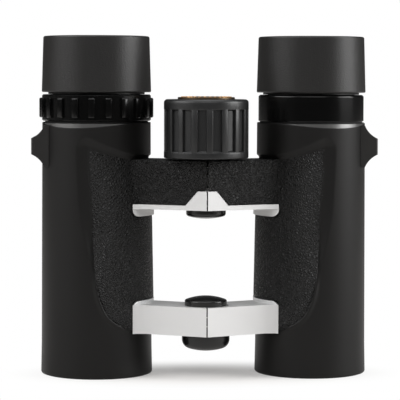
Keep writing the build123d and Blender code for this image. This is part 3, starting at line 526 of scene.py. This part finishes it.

# %% [markdown]
# ## The castings
# Each casting is satin silver where it shows. Its hinge knuckles and the walls of the split between the
# halves are painted black as the shade in that gap. The crown under the eyepiece ring is painted a
# darker glossy metal as the shade under the ring. A face belongs to one of these regions only when all
# its corners do: close to the hinge axis, in the split, or above the crown's foot. Two more solids
# could do the same, but painting faces keeps each casting in one piece.

# %% Castings with painted shade in the split and on the crown
knuckle_reach = 7.6 * mm
split_reach = 0.6 * mm
crown_foot = 76.5 * mm
facing_split = 0.8
split_shade_slot = 1
crown_shade_slot = 2


def paint_casting(piece):
    """Paint shade on the knuckles, the split and the crown, and count the faces of each kind."""
    mesh = piece.data
    for finish in (split_shade_black, crown_shade_metal):
        mesh.materials.append(finish)
    place = np.empty(len(mesh.vertices) * 3)
    mesh.vertices.foreach_get("co", place)
    place = place.reshape(-1, 3) - np.array((hinge.x, hinge.y, 0))
    in_knuckle = np.hypot(place[:, 0], place[:, 1]) < knuckle_reach
    in_split = np.abs(place[:, 0]) < split_reach
    in_crown = place[:, 2] > crown_foot
    for face in mesh.polygons:
        corners = list(face.vertices)
        split_wall = in_split[corners].all() and abs(face.normal.x) > facing_split
        # Faces in the hinge split get the black painted shade, and faces above the crown's foot get the
        # darker painted shade metal.
        if in_knuckle[corners].all() or split_wall:
            face.material_index = split_shade_slot
        elif in_crown[corners].all():
            face.material_index = crown_shade_slot
    painted = [face.material_index for face in mesh.polygons]
    return painted.count(split_shade_slot), painted.count(crown_shade_slot)


for name in sides:
    casting = eased(f"{name}_chassis", casting_ease)
    print(casting.name, "knuckle and crown faces:", paint_casting(casting))

# %% [markdown]
# ## Turned profiles
# The knob, its disc and the dioptre ring are turned parts: a profile of radius and height swept
# round an axis. A Screw modifier could sweep a drawn curve; here the points are worked out, so that
# sizes read from the frame drive them. The profile closes on itself, so the skin is watertight.

# %% Turn a profile
turning_steps = 192
turned_crease = radians(35)


def closed_skin(name, points, loops, crease):
    """Join closed loops of points, each to the next and the last to the first, into one piece."""
    faces = []
    count = len(points) // loops
    for loop in range(loops):
        here = loop * count
        after = (loop + 1) % loops * count
        for row in range(count):
            up = (row + 1) % count
            faces.append((here + row, after + row, after + up, here + up))
    piece = new_piece(name, points, faces)
    outwards(piece)
    piece.data.set_sharp_from_angle(angle=crease)
    return piece


def turned(name, profile, centre):
    points = []
    for step in range(turning_steps):
        angle = 2 * pi * step / turning_steps
        for radius, height in profile:
            x = centre[0] + radius * mm * cos(angle)
            y = centre[1] + radius * mm * sin(angle)
            points.append((x, y, height * mm))
    return closed_skin(name, points, turning_steps, turned_crease)


print("turning in", turning_steps, "steps")

# %% [markdown]
# ## Ribs
# A finger finds the knob and the dioptre ring by their ribs. A rib is a small bar with rounded edges;
# on the dioptre ring its two level outer edges are chamfered first. It is made once, lying along +X,
# and the next step copies it round the axis.


# %% One rib
def rounded_bar(name, radius, low, high, depth, width, ease, chamfer=0.0):
    """A bar whose outer face lies at one radius along +X, from one height to another."""
    bm = bmesh.new()
    bmesh.ops.create_cube(bm, size=1.0)
    bmesh.ops.scale(bm, verts=bm.verts, vec=(depth * mm, width * mm, (high - low) * mm))
    if chamfer:
        level = [edge for edge in bm.edges if edge.verts[0].co.y * edge.verts[1].co.y < 0]
        outer = [edge for edge in level if edge.verts[0].co.x > 0]
        bmesh.ops.bevel(bm, geom=outer, offset=chamfer * mm, segments=1, affect="EDGES", profile=0.5)
    bmesh.ops.bevel(
        bm, geom=bm.edges[:], offset=ease * mm, segments=bevel_steps, affect="EDGES", profile=0.5,
        clamp_overlap=True,
    )
    centre = ((radius - depth / 2) * mm, 0, (low + high) / 2 * mm)
    bmesh.ops.translate(bm, verts=bm.verts, vec=centre)
    mesh = bpy.data.meshes.new(name)
    bm.to_mesh(mesh)
    bm.free()
    mesh.shade_smooth()
    return bpy.data.objects.new(name, mesh)


print("rib helper ready")

# %% [markdown]
# ## Copies round an axis, with Geometry Nodes
# The knob's ribs, the dioptre ring's ribs and the disc's border repeat evenly round an axis. One node
# tree makes all three: it puts points on the axis, turns a copy of the rib by its own angle at each of
# them, and joins the copies to the turned body. An Array modifier could do it too, but the tree takes
# the count, the first angle, the axis and the finish of the copies as inputs.


# %% Build the ring-of-copies tree
def ring_tree():
    tree = bpy.data.node_groups.new("ring_of_copies", "GeometryNodeTree")
    inputs = {
        "Body": "Geometry",
        "Copy": "Object",
        "Count": "Int",
        "First angle": "Float",
        "Axis": "Vector",
        "Finish": "Material",
    }
    for name, kind in inputs.items():
        tree.interface.new_socket(name, in_out="INPUT", socket_type=f"NodeSocket{kind}")
    tree.interface.new_socket("Result", in_out="OUTPUT", socket_type="NodeSocketGeometry")
    add = tree.nodes.new
    link = tree.links.new
    given = add("NodeGroupInput")
    result = add("NodeGroupOutput")
    line = add("GeometryNodeMeshLine")
    line.mode = "OFFSET"
    line.inputs["Offset"].default_value = (0, 0, 0)
    link(given.outputs["Count"], line.inputs["Count"])
    link(given.outputs["Axis"], line.inputs["Start Location"])
    index = add("GeometryNodeInputIndex")
    share = add("ShaderNodeMath")
    share.operation = "DIVIDE"
    link(index.outputs[0], share.inputs[0])
    link(given.outputs["Count"], share.inputs[1])
    angle = add("ShaderNodeMath")
    angle.operation = "MULTIPLY_ADD"
    link(share.outputs[0], angle.inputs[0])
    angle.inputs[1].default_value = 2 * pi
    link(given.outputs["First angle"], angle.inputs[2])
    turn = add("ShaderNodeCombineXYZ")
    link(angle.outputs[0], turn.inputs["Z"])
    rotation = add("FunctionNodeEulerToRotation")
    link(turn.outputs[0], rotation.inputs[0])
    shape = add("GeometryNodeObjectInfo")
    link(given.outputs["Copy"], shape.inputs["Object"])
    copies = add("GeometryNodeInstanceOnPoints")
    link(line.outputs["Mesh"], copies.inputs["Points"])
    painted = add("GeometryNodeSetMaterial")
    link(shape.outputs["Geometry"], painted.inputs["Geometry"])
    link(given.outputs["Finish"], painted.inputs["Material"])
    link(painted.outputs[0], copies.inputs["Instance"])
    link(rotation.outputs[0], copies.inputs["Rotation"])
    joined = add("GeometryNodeJoinGeometry")
    link(copies.outputs["Instances"], joined.inputs[0])
    link(given.outputs["Body"], joined.inputs[0])
    real = add("GeometryNodeRealizeInstances")
    link(joined.outputs[0], real.inputs[0])
    link(real.outputs[0], result.inputs[0])
    return tree


ring_of_copies = ring_tree()
tree_inputs = [item for item in ring_of_copies.interface.items_tree if item.in_out == "INPUT"]


def copies_round(piece, copy, count, first, axis, finish):
    modifier = piece.modifiers.new("Copies round the axis", "NODES")
    modifier.node_group = ring_of_copies
    values = {
        "Copy": copy,
        "Count": count,
        "First angle": radians(first),
        "Axis": (axis[0], axis[1], 0.0),
        "Finish": finish,
    }
    for item in tree_inputs:
        if item.name in values:
            modifier[item.identifier] = values[item.name]
    settle(piece)
    bpy.data.objects.remove(copy)
    return piece


print("tree inputs:", [item.name for item in tree_inputs])

# %% [markdown]
# ## Sizes for turned parts
# A turned part needs its heights and its radius, both read from the solid that it stands for, and
# quarter rounds for its edges. A Bevel modifier could round them too, but then every edge would get
# the same size.

# %% Heights, radii and corners
corner_steps = 5


def upright(name):
    """Lowest and highest point of a solid, in millimetres."""
    low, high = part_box(name)
    return low.z / mm, high.z / mm


def radius_of(name):
    """Half the width of a round solid, in millimetres."""
    low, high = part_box(name)
    return (high.x - low.x) / 2 / mm


def corner(radius, height, size, start):
    """Points of a quarter round about (radius, height), from the start angle on."""
    turns = [radians(start + 90 * step / corner_steps) for step in range(corner_steps + 1)]
    return [(radius + size * cos(turn), height + size * sin(turn)) for turn in turns]


knob_radius = radius_of("focus_knob")
disc_radius = radius_of("focus_knob_disc")
print("knob and disc radius:", round(knob_radius, 2), round(disc_radius, 2))

# %% [markdown]
# ## The focus knob
# The knob is a waisted drum between two smooth bands, and seventeen upright ribs stand in the
# waist, flush with the bands. The hollows could be cut out of a drum, but ribs added to a waist keep
# their own rounded edges, and those make the bright and dark stripes in the photograph.

# %% Focus knob
low, high = upright("focus_knob")
waist = knob_radius - 0.9
band_low = low + 2.3
band_high = high - 3.3
knob_top_round = 1.1
high_band_round = 0.25
low_band_round = 0.45
knob_foot_round = 0.4
waist_fillet = 0.3
knob_inside = knob_radius - 2.2
knob_roof = high - 3.4
disc_seat = high - 0.4
seat_radius = disc_radius + 0.04
spindle_bore = 4.1
knob_rib = {"depth": 1.6, "width": 2.0, "ease": 0.32}
knob_rib_count = 17
rib_inset = 0.02
rib_overlap = 0.6
front_hollow = 261.7

knob_profile = (
    [(seat_radius, disc_seat), (seat_radius, high)]
    + corner(knob_radius - knob_top_round, high - knob_top_round, knob_top_round, 0)[::-1]
    + corner(knob_radius - high_band_round, band_high + high_band_round, high_band_round, 270)[::-1]
    + [(waist + waist_fillet, band_high), (waist, band_high - waist_fillet)]
    + [(waist, band_low + waist_fillet), (waist + waist_fillet, band_low)]
    + corner(knob_radius - low_band_round, band_low - low_band_round, low_band_round, 0)[::-1]
    + corner(knob_radius - knob_foot_round, low + knob_foot_round, knob_foot_round, 270)[::-1]
    + [(knob_inside, low), (knob_inside, knob_roof)]
    + [(spindle_bore, knob_roof), (spindle_bore, disc_seat)]
)
knob = turned("focus_knob_fluted", knob_profile, hinge)
knob.data.materials.append(knob_anodised)
rib = rounded_bar(
    "knob_rib", knob_radius - rib_inset, band_low - rib_overlap, band_high + rib_overlap, **knob_rib
)
first_rib = front_hollow + 360 / knob_rib_count / 2
copies_round(knob, rib, knob_rib_count, first_rib, hinge, knob_anodised)
stand_in(knob, "focus_knob")
print("knob:", len(knob.data.polygons), "faces")

# %% [markdown]
# ## The dioptre ring
# One eyepiece carries a ring with twenty-one raised ribs, in gloss black, that sets it to the eye. It
# is the same recipe as the knob: a turned ring with chamfered edges and a rib copied round it.

# %% Dioptre ring
low, high = upright("left_diopter_ring")
rib_radius = radius_of("left_diopter_ring")
ring_radius = rib_radius - 0.85
ring_bore = 14.26
ring_chamfer = 0.4
dioptre_rib = {"depth": 1.6, "width": 1.9, "ease": 0.14, "chamfer": 0.3}
dioptre_rib_count = 21
dioptre_rib_margin = 1.1
front_rib = 265.4

ring_profile = [
    (ring_bore, low),
    (ring_radius - ring_chamfer, low),
    (ring_radius, low + ring_chamfer),
    (ring_radius, high - ring_chamfer),
    (ring_radius - ring_chamfer, high),
    (ring_bore, high),
]
dioptre = turned("left_diopter_ring_ribbed", ring_profile, barrel["left"])
dioptre.data.materials.append(ring_lacquer)
rib = rounded_bar(
    "dioptre_rib", rib_radius, low + dioptre_rib_margin, high - dioptre_rib_margin, **dioptre_rib
)
copies_round(dioptre, rib, dioptre_rib_count, front_rib, barrel["left"], ring_lacquer)
stand_in(dioptre, "left_diopter_ring")
print("dioptre ring:", len(dioptre.data.polygons), "faces")

# %% [markdown]
# ## The grip panel's outline
# The armour has a soft scoop where the grip panel starts. To shape it, the outline of the panel is
# needed as it looks from the front: `reach` is how far a point lies from the barrel's axis towards
# the hinge. The outline runs along the top, down the outer edge and round the foot, as a smooth curve
# through a few points. A curve object could be drawn, but a list of points is easier to measure to.

# %% Outline as seen from the front
panel_corner = (-2.9, 74.0)
panel_shoulder = (12.2, 70.1)
panel_side = [(-2.7, 66.6), (-2.3, 60.1), (-1.4, 46.4), (-0.8, 37.2), (-0.2, 30.3)]
panel_foot = [(1.0, 24.7), (3.3, 20.0), (7.0, 16.9), (11.0, 15.2)]
panel_end = 17.2
path_steps = 12


def smooth_path(points):
    """Catmull-Rom curve through the points."""
    padded = [points[0], *points, points[-1]]
    path = []
    for index in range(1, len(padded) - 2):
        a, b, c, d = (np.array(padded[index + shift - 1]) for shift in range(4))
        for step in range(path_steps):
            t = step / path_steps
            square = (2 * a - 5 * b + 4 * c - d) * t**2
            cube = (3 * b - a - 3 * c + d) * t**3
            path.append(0.5 * (2 * b + (c - a) * t + square + cube))
    path.append(np.array(points[-1]))
    return path


panel_edge = smooth_path([panel_corner, *panel_side, *panel_foot])
panel_foot_end = (panel_end, panel_foot[-1][1])
panel_top_end = (panel_end, panel_shoulder[1])
outline = np.array([panel_top_end, panel_shoulder, *panel_edge, panel_foot_end])
print("outline has", len(outline), "points")

# %% [markdown]
# ## Distance to the outline
# For any point of the barrel the scoop needs two things: is it inside the panel, and how far is it
# from the panel's edge. Both come from the outline as a polygon, worked out for all points at once
# with NumPy, which is quick enough to do for every vertex. The back of the panel mirrors the front and
# has the same reach, so one outline serves both.

# %% Measure to the outline
outline_margin = 0.05


def edge_distance(reach, height):
    """Distance to the panel's edge, negative inside the panel."""
    reach = np.minimum(reach, panel_end - outline_margin)
    point = np.stack([reach, height], axis=-1)[:, None, :]
    start = outline[None, :-1, :]
    step = (outline[1:] - outline[:-1])[None]
    along = np.clip(((point - start) * step).sum(-1) / (step**2).sum(-1), 0, 1)
    nearest = start + along[..., None] * step
    gap = np.sqrt(((nearest - point) ** 2).sum(-1)).min(1)
    loop = np.vstack([outline, outline[:1]])
    inside = np.zeros(len(reach), bool)
    for (x0, y0), (x1, y1) in zip(loop[:-1], loop[1:]):
        if y0 == y1:
            continue
        crosses = (y0 > height) != (y1 > height)
        inside ^= crosses & (reach < (x1 - x0) * (height - y0) / (y1 - y0) + x0)
    return np.where(inside, -gap, gap)


def smoothstep(value, low, high):
    t = np.clip((value - low) / (high - low), 0, 1)
    return t * t * (3 - 2 * t)


print("distance on the front line:", edge_distance(np.array([0.0]), np.array([50.0])).round(2))

# %% [markdown]
# ## The armour's wall
# The armour is a rubber skin moulded round the casting, so its radius depends on angle and height.
# Next to the grip panel it dips into a soft scoop above and rises to a narrow lip below. Sculpting
# could do this by hand; formulas keep both barrels alike and the scoop on the panel's edge.

# %% Armour wall, scoop and lip
armour_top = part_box("left_armour")[1].z / mm
wall_heights = [0, 10, armour_top]
wall_radii = [18.15, 17.95, 17.6]
scoop_starts = 29.0
scoop = {"depth": 1.12, "full": 48.0, "loss": 0.35, "loss_reach": 10.0, "bend": 1.7}
beside_panel = {"narrow": 0.4, "gain": 3.0, "full": 56.0}
above_panel = {"wide": 3.0, "narrow": 0.9, "ends": 9.0}
beside_to_above = (-0.8, 1.6)
foot_fades = (27.0, 36.0)
lip = {"rise": 0.7, "flat": 0.1, "width": 0.6, "fades": (7.0, 11.0)}


def armour_radius(height):
    return np.interp(height, wall_heights, wall_radii)


def scoop_depth(reach, height):
    """Nothing low down, full in the upper part, and less towards the hinge."""
    full = scoop["depth"] * smoothstep(height, scoop_starts, scoop["full"])
    return full * (1 - scoop["loss"] * smoothstep(reach, 0.0, scoop["loss_reach"]))


def scoop_width(reach, height):
    """Broad beside the panel's top outer corner, closing lower down and towards the hinge."""
    growth = smoothstep(height, scoop_starts, beside_panel["full"])
    beside = beside_panel["narrow"] + beside_panel["gain"] * growth
    span = [panel_corner[0], above_panel["ends"]]
    above = np.interp(reach, span, [above_panel["wide"], above_panel["narrow"]])
    top = np.interp(reach, [panel_corner[0], panel_shoulder[0]], [panel_corner[1], panel_shoulder[1]])
    return beside + (above - beside) * smoothstep(height - top, *beside_to_above)


def near_foot(height):
    """1 at the panel's foot, fading to 0 where the scoop takes over."""
    return 1 - smoothstep(height, *foot_fades)


def lip_rise(gap, reach, height):
    """A narrow lip round the panel's foot, where the armour meets the thicker end of the cover."""
    fade = near_foot(height) * (1 - smoothstep(reach, *lip["fades"]))
    return lip["rise"] * fade * np.exp(-((np.maximum(gap - lip["flat"], 0) / lip["width"]) ** 2))


print("armour is", round(armour_top, 2), "mm high")

# %% [markdown]
# ## The armour's edges
# The armour's foot and its top edge are rounded, and the top is scalloped at the front so that a
# crescent of the casting shows. The scallop is an arc seen from the front, turned a little outwards,
# as in the photograph. Under the panel the armour drops away to a thin wall that nobody sees.

# %% Armour edges
foot_round = 0.7
top_round = 0.22
scallop = {"depth": 1.6, "reach": 16.5, "turn": radians(24)}
casting_bore = 16.43
thin_wall = 0.03
under_panel = (0.3, 1.3)


def rounding(size, drop):
    """How far a rounded edge of one size falls back, at a drop below the edge."""
    return size - np.sqrt(np.maximum(size**2 - np.maximum(size - drop, 0) ** 2, 0))


def scooped(angle, height):
    """Radius at an angle, which is 0 at the front and 90 degrees towards the hinge."""
    radius = armour_radius(height)
    reach = radius * np.sin(angle)
    gap = edge_distance(reach, height)
    slope = 1 - np.clip(gap / scoop_width(reach, height), 0, 1) ** scoop["bend"]
    radius = radius - scoop_depth(reach, height) * slope + lip_rise(gap, reach, height)
    radius = radius - (radius - casting_bore - thin_wall) * smoothstep(-gap, *under_panel)
    return radius - rounding(foot_round, height)


def top_edge(angle):
    depth, half = scallop["depth"], scallop["reach"]
    circle = (half**2 + depth**2) / (2 * depth)
    across = armour_radius(armour_top) * np.sin(angle + scallop["turn"])
    dip = depth - circle + np.sqrt(np.maximum(circle**2 - across**2, 0))
    at_front = np.cos(angle + scallop["turn"]) > 0
    return armour_top - np.where((np.abs(across) < half) & at_front, dip, 0)


print("lowest point of the top edge:", top_edge(np.linspace(0, 2 * pi, 360)).min().round(2))

# %% [markdown]
# ## The armour's skin
# One upright loop of points is made for each angle: up the outside with the radius above, and down
# the lining, which steps round the casting. The rows follow the top's curve and lie close together,
# so the scoop needs no subdivision. The loops are then joined in the same way as a turned part.

# %% Armour skin
barrel_steps = 288
barrel_crease = radians(50)
foot_rows = 6
wall_rows = 178
top_rows = 5
wall_starts = 1.1
wall_stops = armour_top - 0.5
hood_radius = 14.8
hood_sill = 0.97
neck_radius = 17.33
neck_foot = armour_top - 4.93
lining = [
    (hood_radius, 0.0),
    (hood_radius, hood_sill),
    (casting_bore, hood_sill),
    (casting_bore, neck_foot),
    (neck_radius, neck_foot),
]


def swept(piece_name, columns, side_name):
    """Join upright loops of (radius, height), one for each angle round a barrel, into one skin."""
    side, centre = sides[side_name], barrel[side_name]
    points = []
    for angle, column in columns:
        for radius, height in column:
            across, ahead = radius * mm * sin(angle), radius * mm * cos(angle)
            points.append((centre.x - side * across, centre.y - ahead, height * mm))
    return closed_skin(piece_name, points, len(columns), barrel_crease)


def armour_piece(name):
    angles = np.linspace(0, 2 * pi, barrel_steps, endpoint=False)
    foot = np.linspace(0, foot_round, foot_rows)
    wall = np.linspace(wall_starts, wall_stops, wall_rows)
    top = np.linspace(armour_top - top_round, armour_top, top_rows)
    share = np.concatenate([foot, wall, top]) / armour_top
    angle, level = (grid.ravel() for grid in np.meshgrid(angles, share, indexing="ij"))
    height = top_edge(angle) * level
    radius = scooped(angle, height) - rounding(top_round, top_edge(angle) - height)
    columns = []
    for index, (one, rim_height) in enumerate(zip(angles, top_edge(angles))):
        own = slice(index * len(share), (index + 1) * len(share))
        outside = list(zip(radius[own], height[own]))
        columns.append((one, [*outside, (neck_radius, rim_height), *lining[::-1]]))
    return stand_in(swept(f"{name}_armour_soft", columns, name), f"{name}_armour")


for name in sides:
    piece = armour_piece(name)
    print(piece.name, len(piece.data.polygons), "faces")

# %% [markdown]
# ## The grip covers
# The cover is moulded in one piece over the barrel's inner side and its half of the bridge, so its
# edges and inner corners are soft. A Bevel would stumble over the solid's many small edges; a voxel
# remesh gives an even skin of small faces instead. Smoothing rounds it, and then the skin sinks
# towards the scoop's floor near the panel's edge.

# %% A soft skin
skin_voxel = 0.4
skin_smoothing = 0.5
smoothing_rounds = 4


def soft_skin(name):
    """Even, rounded copy of a solid's surface."""
    piece = linked(f"{name}_soft", welded(name, flatten=False))
    remesh = piece.modifiers.new("Even skin", "REMESH")
    remesh.mode = "VOXEL"
    remesh.voxel_size = skin_voxel * mm
    settle(piece)
    smooth = piece.modifiers.new("Soft corners", "SMOOTH")
    smooth.factor = skin_smoothing
    smooth.iterations = smoothing_rounds
    return settle(piece)


print("skin of", skin_voxel, "mm voxels")

# %% [markdown]
# ## Sinking the covers' edges
# The panel meets the scoop almost flush. Each vertex on the panel's outer face moves towards the
# barrel's axis: beside the scoop by the whole step to its floor, less further in, and round the foot
# by a small fixed amount that hides the joint under the lip. The bridge's half of the cover stays.

# %% Grip covers
cover_heights = [14.5, 50.0, 74.5]
cover_radii = [18.8, 18.15, 16.95]
sink_grows = (29.0, 52.0)
sink_fades = (0.0, 9.0)
foot_sink = 0.3
foot_sink_fades = (0.2, 1.5)
outer_face_starts = 16.5
outer_face_play = 0.3


def edge_sink(across, height, skin):
    """How far the cover's outer face sinks towards the barrel's axis."""
    step = np.maximum(skin - (armour_radius(height) - scoop_depth(across, height)), 0)
    inward = -edge_distance(across, height)
    beside = step * smoothstep(height, *sink_grows) * (1 - smoothstep(inward, *sink_fades))
    return beside + foot_sink * near_foot(height) * (1 - smoothstep(inward, *foot_sink_fades))


def grip_piece(name):
    side, centre = sides[name], np.array(barrel[name]) / mm
    piece = soft_skin(f"{name}_grip_cover")
    flat = np.empty(len(piece.data.vertices) * 3)
    piece.data.vertices.foreach_get("co", flat)
    point = flat.reshape(-1, 3) / mm
    across, ahead = (point[:, 0] - centre[0]) * -side, centre[1] - point[:, 1]
    radius, height = np.hypot(across, ahead), point[:, 2]
    skin = np.interp(height, cover_heights, cover_radii)
    on_face = smoothstep(radius, outer_face_starts, skin) * (radius < skin + outer_face_play)
    scale = 1 - edge_sink(across, height, skin) * on_face / radius
    point[:, :2] = centre[:2] + (point[:, :2] - centre[:2]) * scale[:, None]
    piece.data.vertices.foreach_set("co", (point * mm).ravel())
    piece.data.update()
    piece.data.shade_smooth()
    piece.data.materials.clear()
    return stand_in(piece, f"{name}_grip_cover")


for name in sides:
    piece = grip_piece(name)
    print(piece.name, len(piece.data.polygons), "faces")

# %% [markdown]
# ## The knob's disc
# A thin dark bronze disc lies on top of the knob. Its rim carries a plain border of small gilt
# lozenges, a common turned-metal ornament, made with the same ring of copies. A texture could paint
# them, but real relief catches the light at the low angle from which the disc is seen.

# %% Disc with a gilt border
low, high = upright("focus_knob_disc")
border_height = high - 0.22
rim_round = 0.25
boss_foot = disc_radius - 3.4
boss_radius = disc_radius - 3.6
disc_middle = 0.01
lozenge_size = {"depth": 1.3, "width": 0.75, "ease": 0.16}
lozenge_count = 30
lozenge_radius = disc_radius - 1.0
lozenge_foot = border_height - 0.3

disc_profile = (
    [(disc_middle, low), (disc_radius, low)]
    + corner(disc_radius - rim_round, border_height - rim_round, rim_round, 0)
    + [(boss_foot, border_height), (boss_radius, high), (disc_middle, high)]
)
disc = turned("focus_knob_disc_border", disc_profile, hinge)
disc.data.materials.append(disc_bronze)
lozenge = rounded_bar("lozenge", lozenge_radius, lozenge_foot, high, **lozenge_size)
copies_round(disc, lozenge, lozenge_count, 0.0, hinge, rim_gold)
stand_in(disc, "focus_knob_disc")
print("disc:", len(disc.data.polygons), "faces")

# %% [markdown]
# ## What a ray sees
# The pair stands in a white tent. Enough light to burn the tent out to white would also wash out the
# object, so the floor and the world ask Light Path what kind of ray is looking: the camera sees
# white, reflections see a dimmer tent, and the light on the object stays at a plain level.


# %% Rays and ramps
def sight(tree):
    """Is a ray the camera's own, and is it one that a glossy or clear surface sends on."""
    path = tree.nodes.new("ShaderNodeLightPath")
    camera = Wire(tree, path.outputs["Is Camera Ray"])
    onward = Wire(tree, path.outputs["Is Glossy Ray"]) + Wire(tree, path.outputs["Is Transmission Ray"])
    return camera, onward


def ramp(tree, value, span, levels):
    """Ease from the first level to the second while the value crosses the span."""
    return node_out(
        tree, "ShaderNodeMapRange", 0, {"interpolation_type": "SMOOTHSTEP"}, Value=value,
        From_Min=span[0], From_Max=span[1], To_Min=levels[0], To_Max=levels[1],
    )


print("ray helpers ready")

# %% [markdown]
# ## The floor
# The floor is a sheet of white paper. Far from the object it glows white for the camera; close to it
# the paper keeps its own shade, so that the contact shadow shows. Both distances are in metres, on
# an ellipse that is twice as wide as it is deep, like the object's footprint.

# %% Floor
floor_corners = [(-3, -0.4, 0), (3, -0.4, 0), (3, 3, 0), (-3, 3, 0)]
paper_dark = (0.80, 0.775, 0.75)
paper_light = (0.82, 0.795, 0.77)
fibre_size = 2.0
footprint = (0.5, 1, 0)
shadow_span = (0.006, 0.034)
shadow_levels = (0.22, 1.0)
mirrored_span = (0.08, 0.3)
mirrored_levels = (0.25, 0.04)

floor = new_piece("floor", floor_corners, [(0, 1, 2, 3)])
paper, tree, shader, place = start_finish("floor_paper", Roughness=0.9, Specular_IOR_Level=0.0)
fibre = speckle(tree, place, fibre_size)
plug(tree, shader.inputs["Base Color"], tint(tree, paper_dark, paper_light, fibre))
flat = node_out(tree, "ShaderNodeVectorMath", 0, {"operation": "MULTIPLY"})
plug(tree, flat.socket.node.inputs[0], place)
flat.socket.node.inputs[1].default_value = footprint
away = node_out(tree, "ShaderNodeVectorMath", "Value", {"operation": "LENGTH"}, Vector=flat)
camera_ray, onward_ray = sight(tree)
mirrored = onward_ray * ramp(tree, away, mirrored_span, mirrored_levels)
white_share = (camera_ray + mirrored) * ramp(tree, away, shadow_span, shadow_levels)
glow = node_out(tree, "ShaderNodeEmission", 0, Color=(1, 1, 1, 1), Strength=1.0)
mixed = tree.nodes.new("ShaderNodeMixShader")
plug(tree, mixed.inputs[0], white_share)
tree.links.new(shader.outputs[0], mixed.inputs[1])
plug(tree, mixed.inputs[2], glow)
tree.links.new(mixed.outputs[0], tree.nodes["Material Output"].inputs[0])
floor.data.materials.append(paper)
print("floor paper is white to the camera")

# %% [markdown]
# ## The tent
# The world stands for the cloth of the tent. It lights the object less from the camera's side, where
# a tent has its opening. Shiny surfaces see dark cloth, with a dim patch straight behind the object and
# a bright one overhead, which is what gives black lacquer its few clear highlights.

# %% World
cloth_light_span = (-0.6, 0.4)
cloth_light_levels = (0.08, 0.35)
back_patch_span = (0.86, 0.99)
back_patch_levels = (0.02, 0.14)
roof_patch_span = (0.7, 0.95)
roof_patch_levels = (0.0, 2.0)

world = bpy.context.scene.world or bpy.data.worlds.new("tent")
bpy.context.scene.world = world
world.use_nodes = True
tree = world.node_tree
tent = tree.nodes["Background"]
direction = node_out(tree, "ShaderNodeTexCoord", "Generated")
split = tree.nodes.new("ShaderNodeSeparateXYZ")
plug(tree, split.inputs[0], direction)
backwards = Wire(tree, split.outputs[1])
upwards = Wire(tree, split.outputs[2])
camera_ray, onward_ray = sight(tree)
back_patch = ramp(tree, backwards, back_patch_span, back_patch_levels)
roof_patch = ramp(tree, upwards, roof_patch_span, roof_patch_levels)
cloth_light = ramp(tree, backwards, cloth_light_span, cloth_light_levels)
unseen = onward_ray * (back_patch + roof_patch) + (1 - onward_ray) * cloth_light
plug(tree, tent.inputs["Strength"], camera_ray + (1 - camera_ray) * unseen)
tent.inputs["Color"].default_value = (1, 1, 1, 1)
print("world is white to the camera")

# %% [markdown]
# ## Soft lamps
# Big area lamps stand in for the tent's walls: one far out on each side, so that each barrel shades
# the other's inner side, one behind the camera, and a small one overhead that draws thin highlights
# on upper edges. Point lamps would cast hard shadows; large ones near a small object cast soft ones.

# %% Lamps
lamp_aim = Vector((0, 0, 0.05))


def lamp(name, place, size, power):
    data = bpy.data.lights.new(name, "AREA")
    data.shape = "RECTANGLE"
    data.size = size[0]
    data.size_y = size[1]
    data.energy = power
    light = bpy.data.objects.new(name, data)
    light.location = place
    light.rotation_euler = (lamp_aim - Vector(place)).to_track_quat("-Z", "Y").to_euler()
    collection.objects.link(light)


lamp("tent_left", place=(-0.80, -0.25, 0.55), size=(0.9, 0.6), power=7.5)
lamp("tent_right", place=(0.88, -0.17, 0.38), size=(0.6, 0.5), power=8.2)
lamp("tent_front", place=(0.0, -0.85, 0.62), size=(1.0, 0.5), power=3.5)
lamp("tent_roof", place=(0.0, -0.05, 0.9), size=(0.12, 0.12), power=0.3)
print("lamps:", len(bpy.data.lights))

# %% [markdown]
# ## The camera
# The photograph was taken with a long lens from a little to the left, at about the height of the
# eyecups. The camera looks along a line given by two angles through a point near the middle of the
# object; placing it by angles is easier to tune than dragging it about.

# %% Camera
target = Vector((-1.466, 0.0, 56.664)) * mm
distance = 618.5824 * mm
azimuth = radians(2.6345)
elevation = radians(3.4617)
roll = radians(0.1485)
picture_width = 400
focal_pixels = 1906.733
sensor_width = 36.0

forward = Vector((sin(azimuth) * cos(elevation), cos(azimuth) * cos(elevation), -sin(elevation)))
camera_data = bpy.data.cameras.new("camera")
camera_data.sensor_width = sensor_width
camera_data.lens = focal_pixels / picture_width * sensor_width
camera = bpy.data.objects.new("camera", camera_data)
camera.rotation_mode = "QUATERNION"
tilt = Matrix.Rotation(roll, 3, "Z").to_quaternion()
camera.rotation_quaternion = forward.to_track_quat("-Z", "Y") @ tilt
camera.location = target - forward * distance
collection.objects.link(camera)
bpy.context.scene.camera = camera
bpy.context.scene.view_settings.view_transform = "Standard"
print("lens", round(camera_data.lens, 1), "mm")
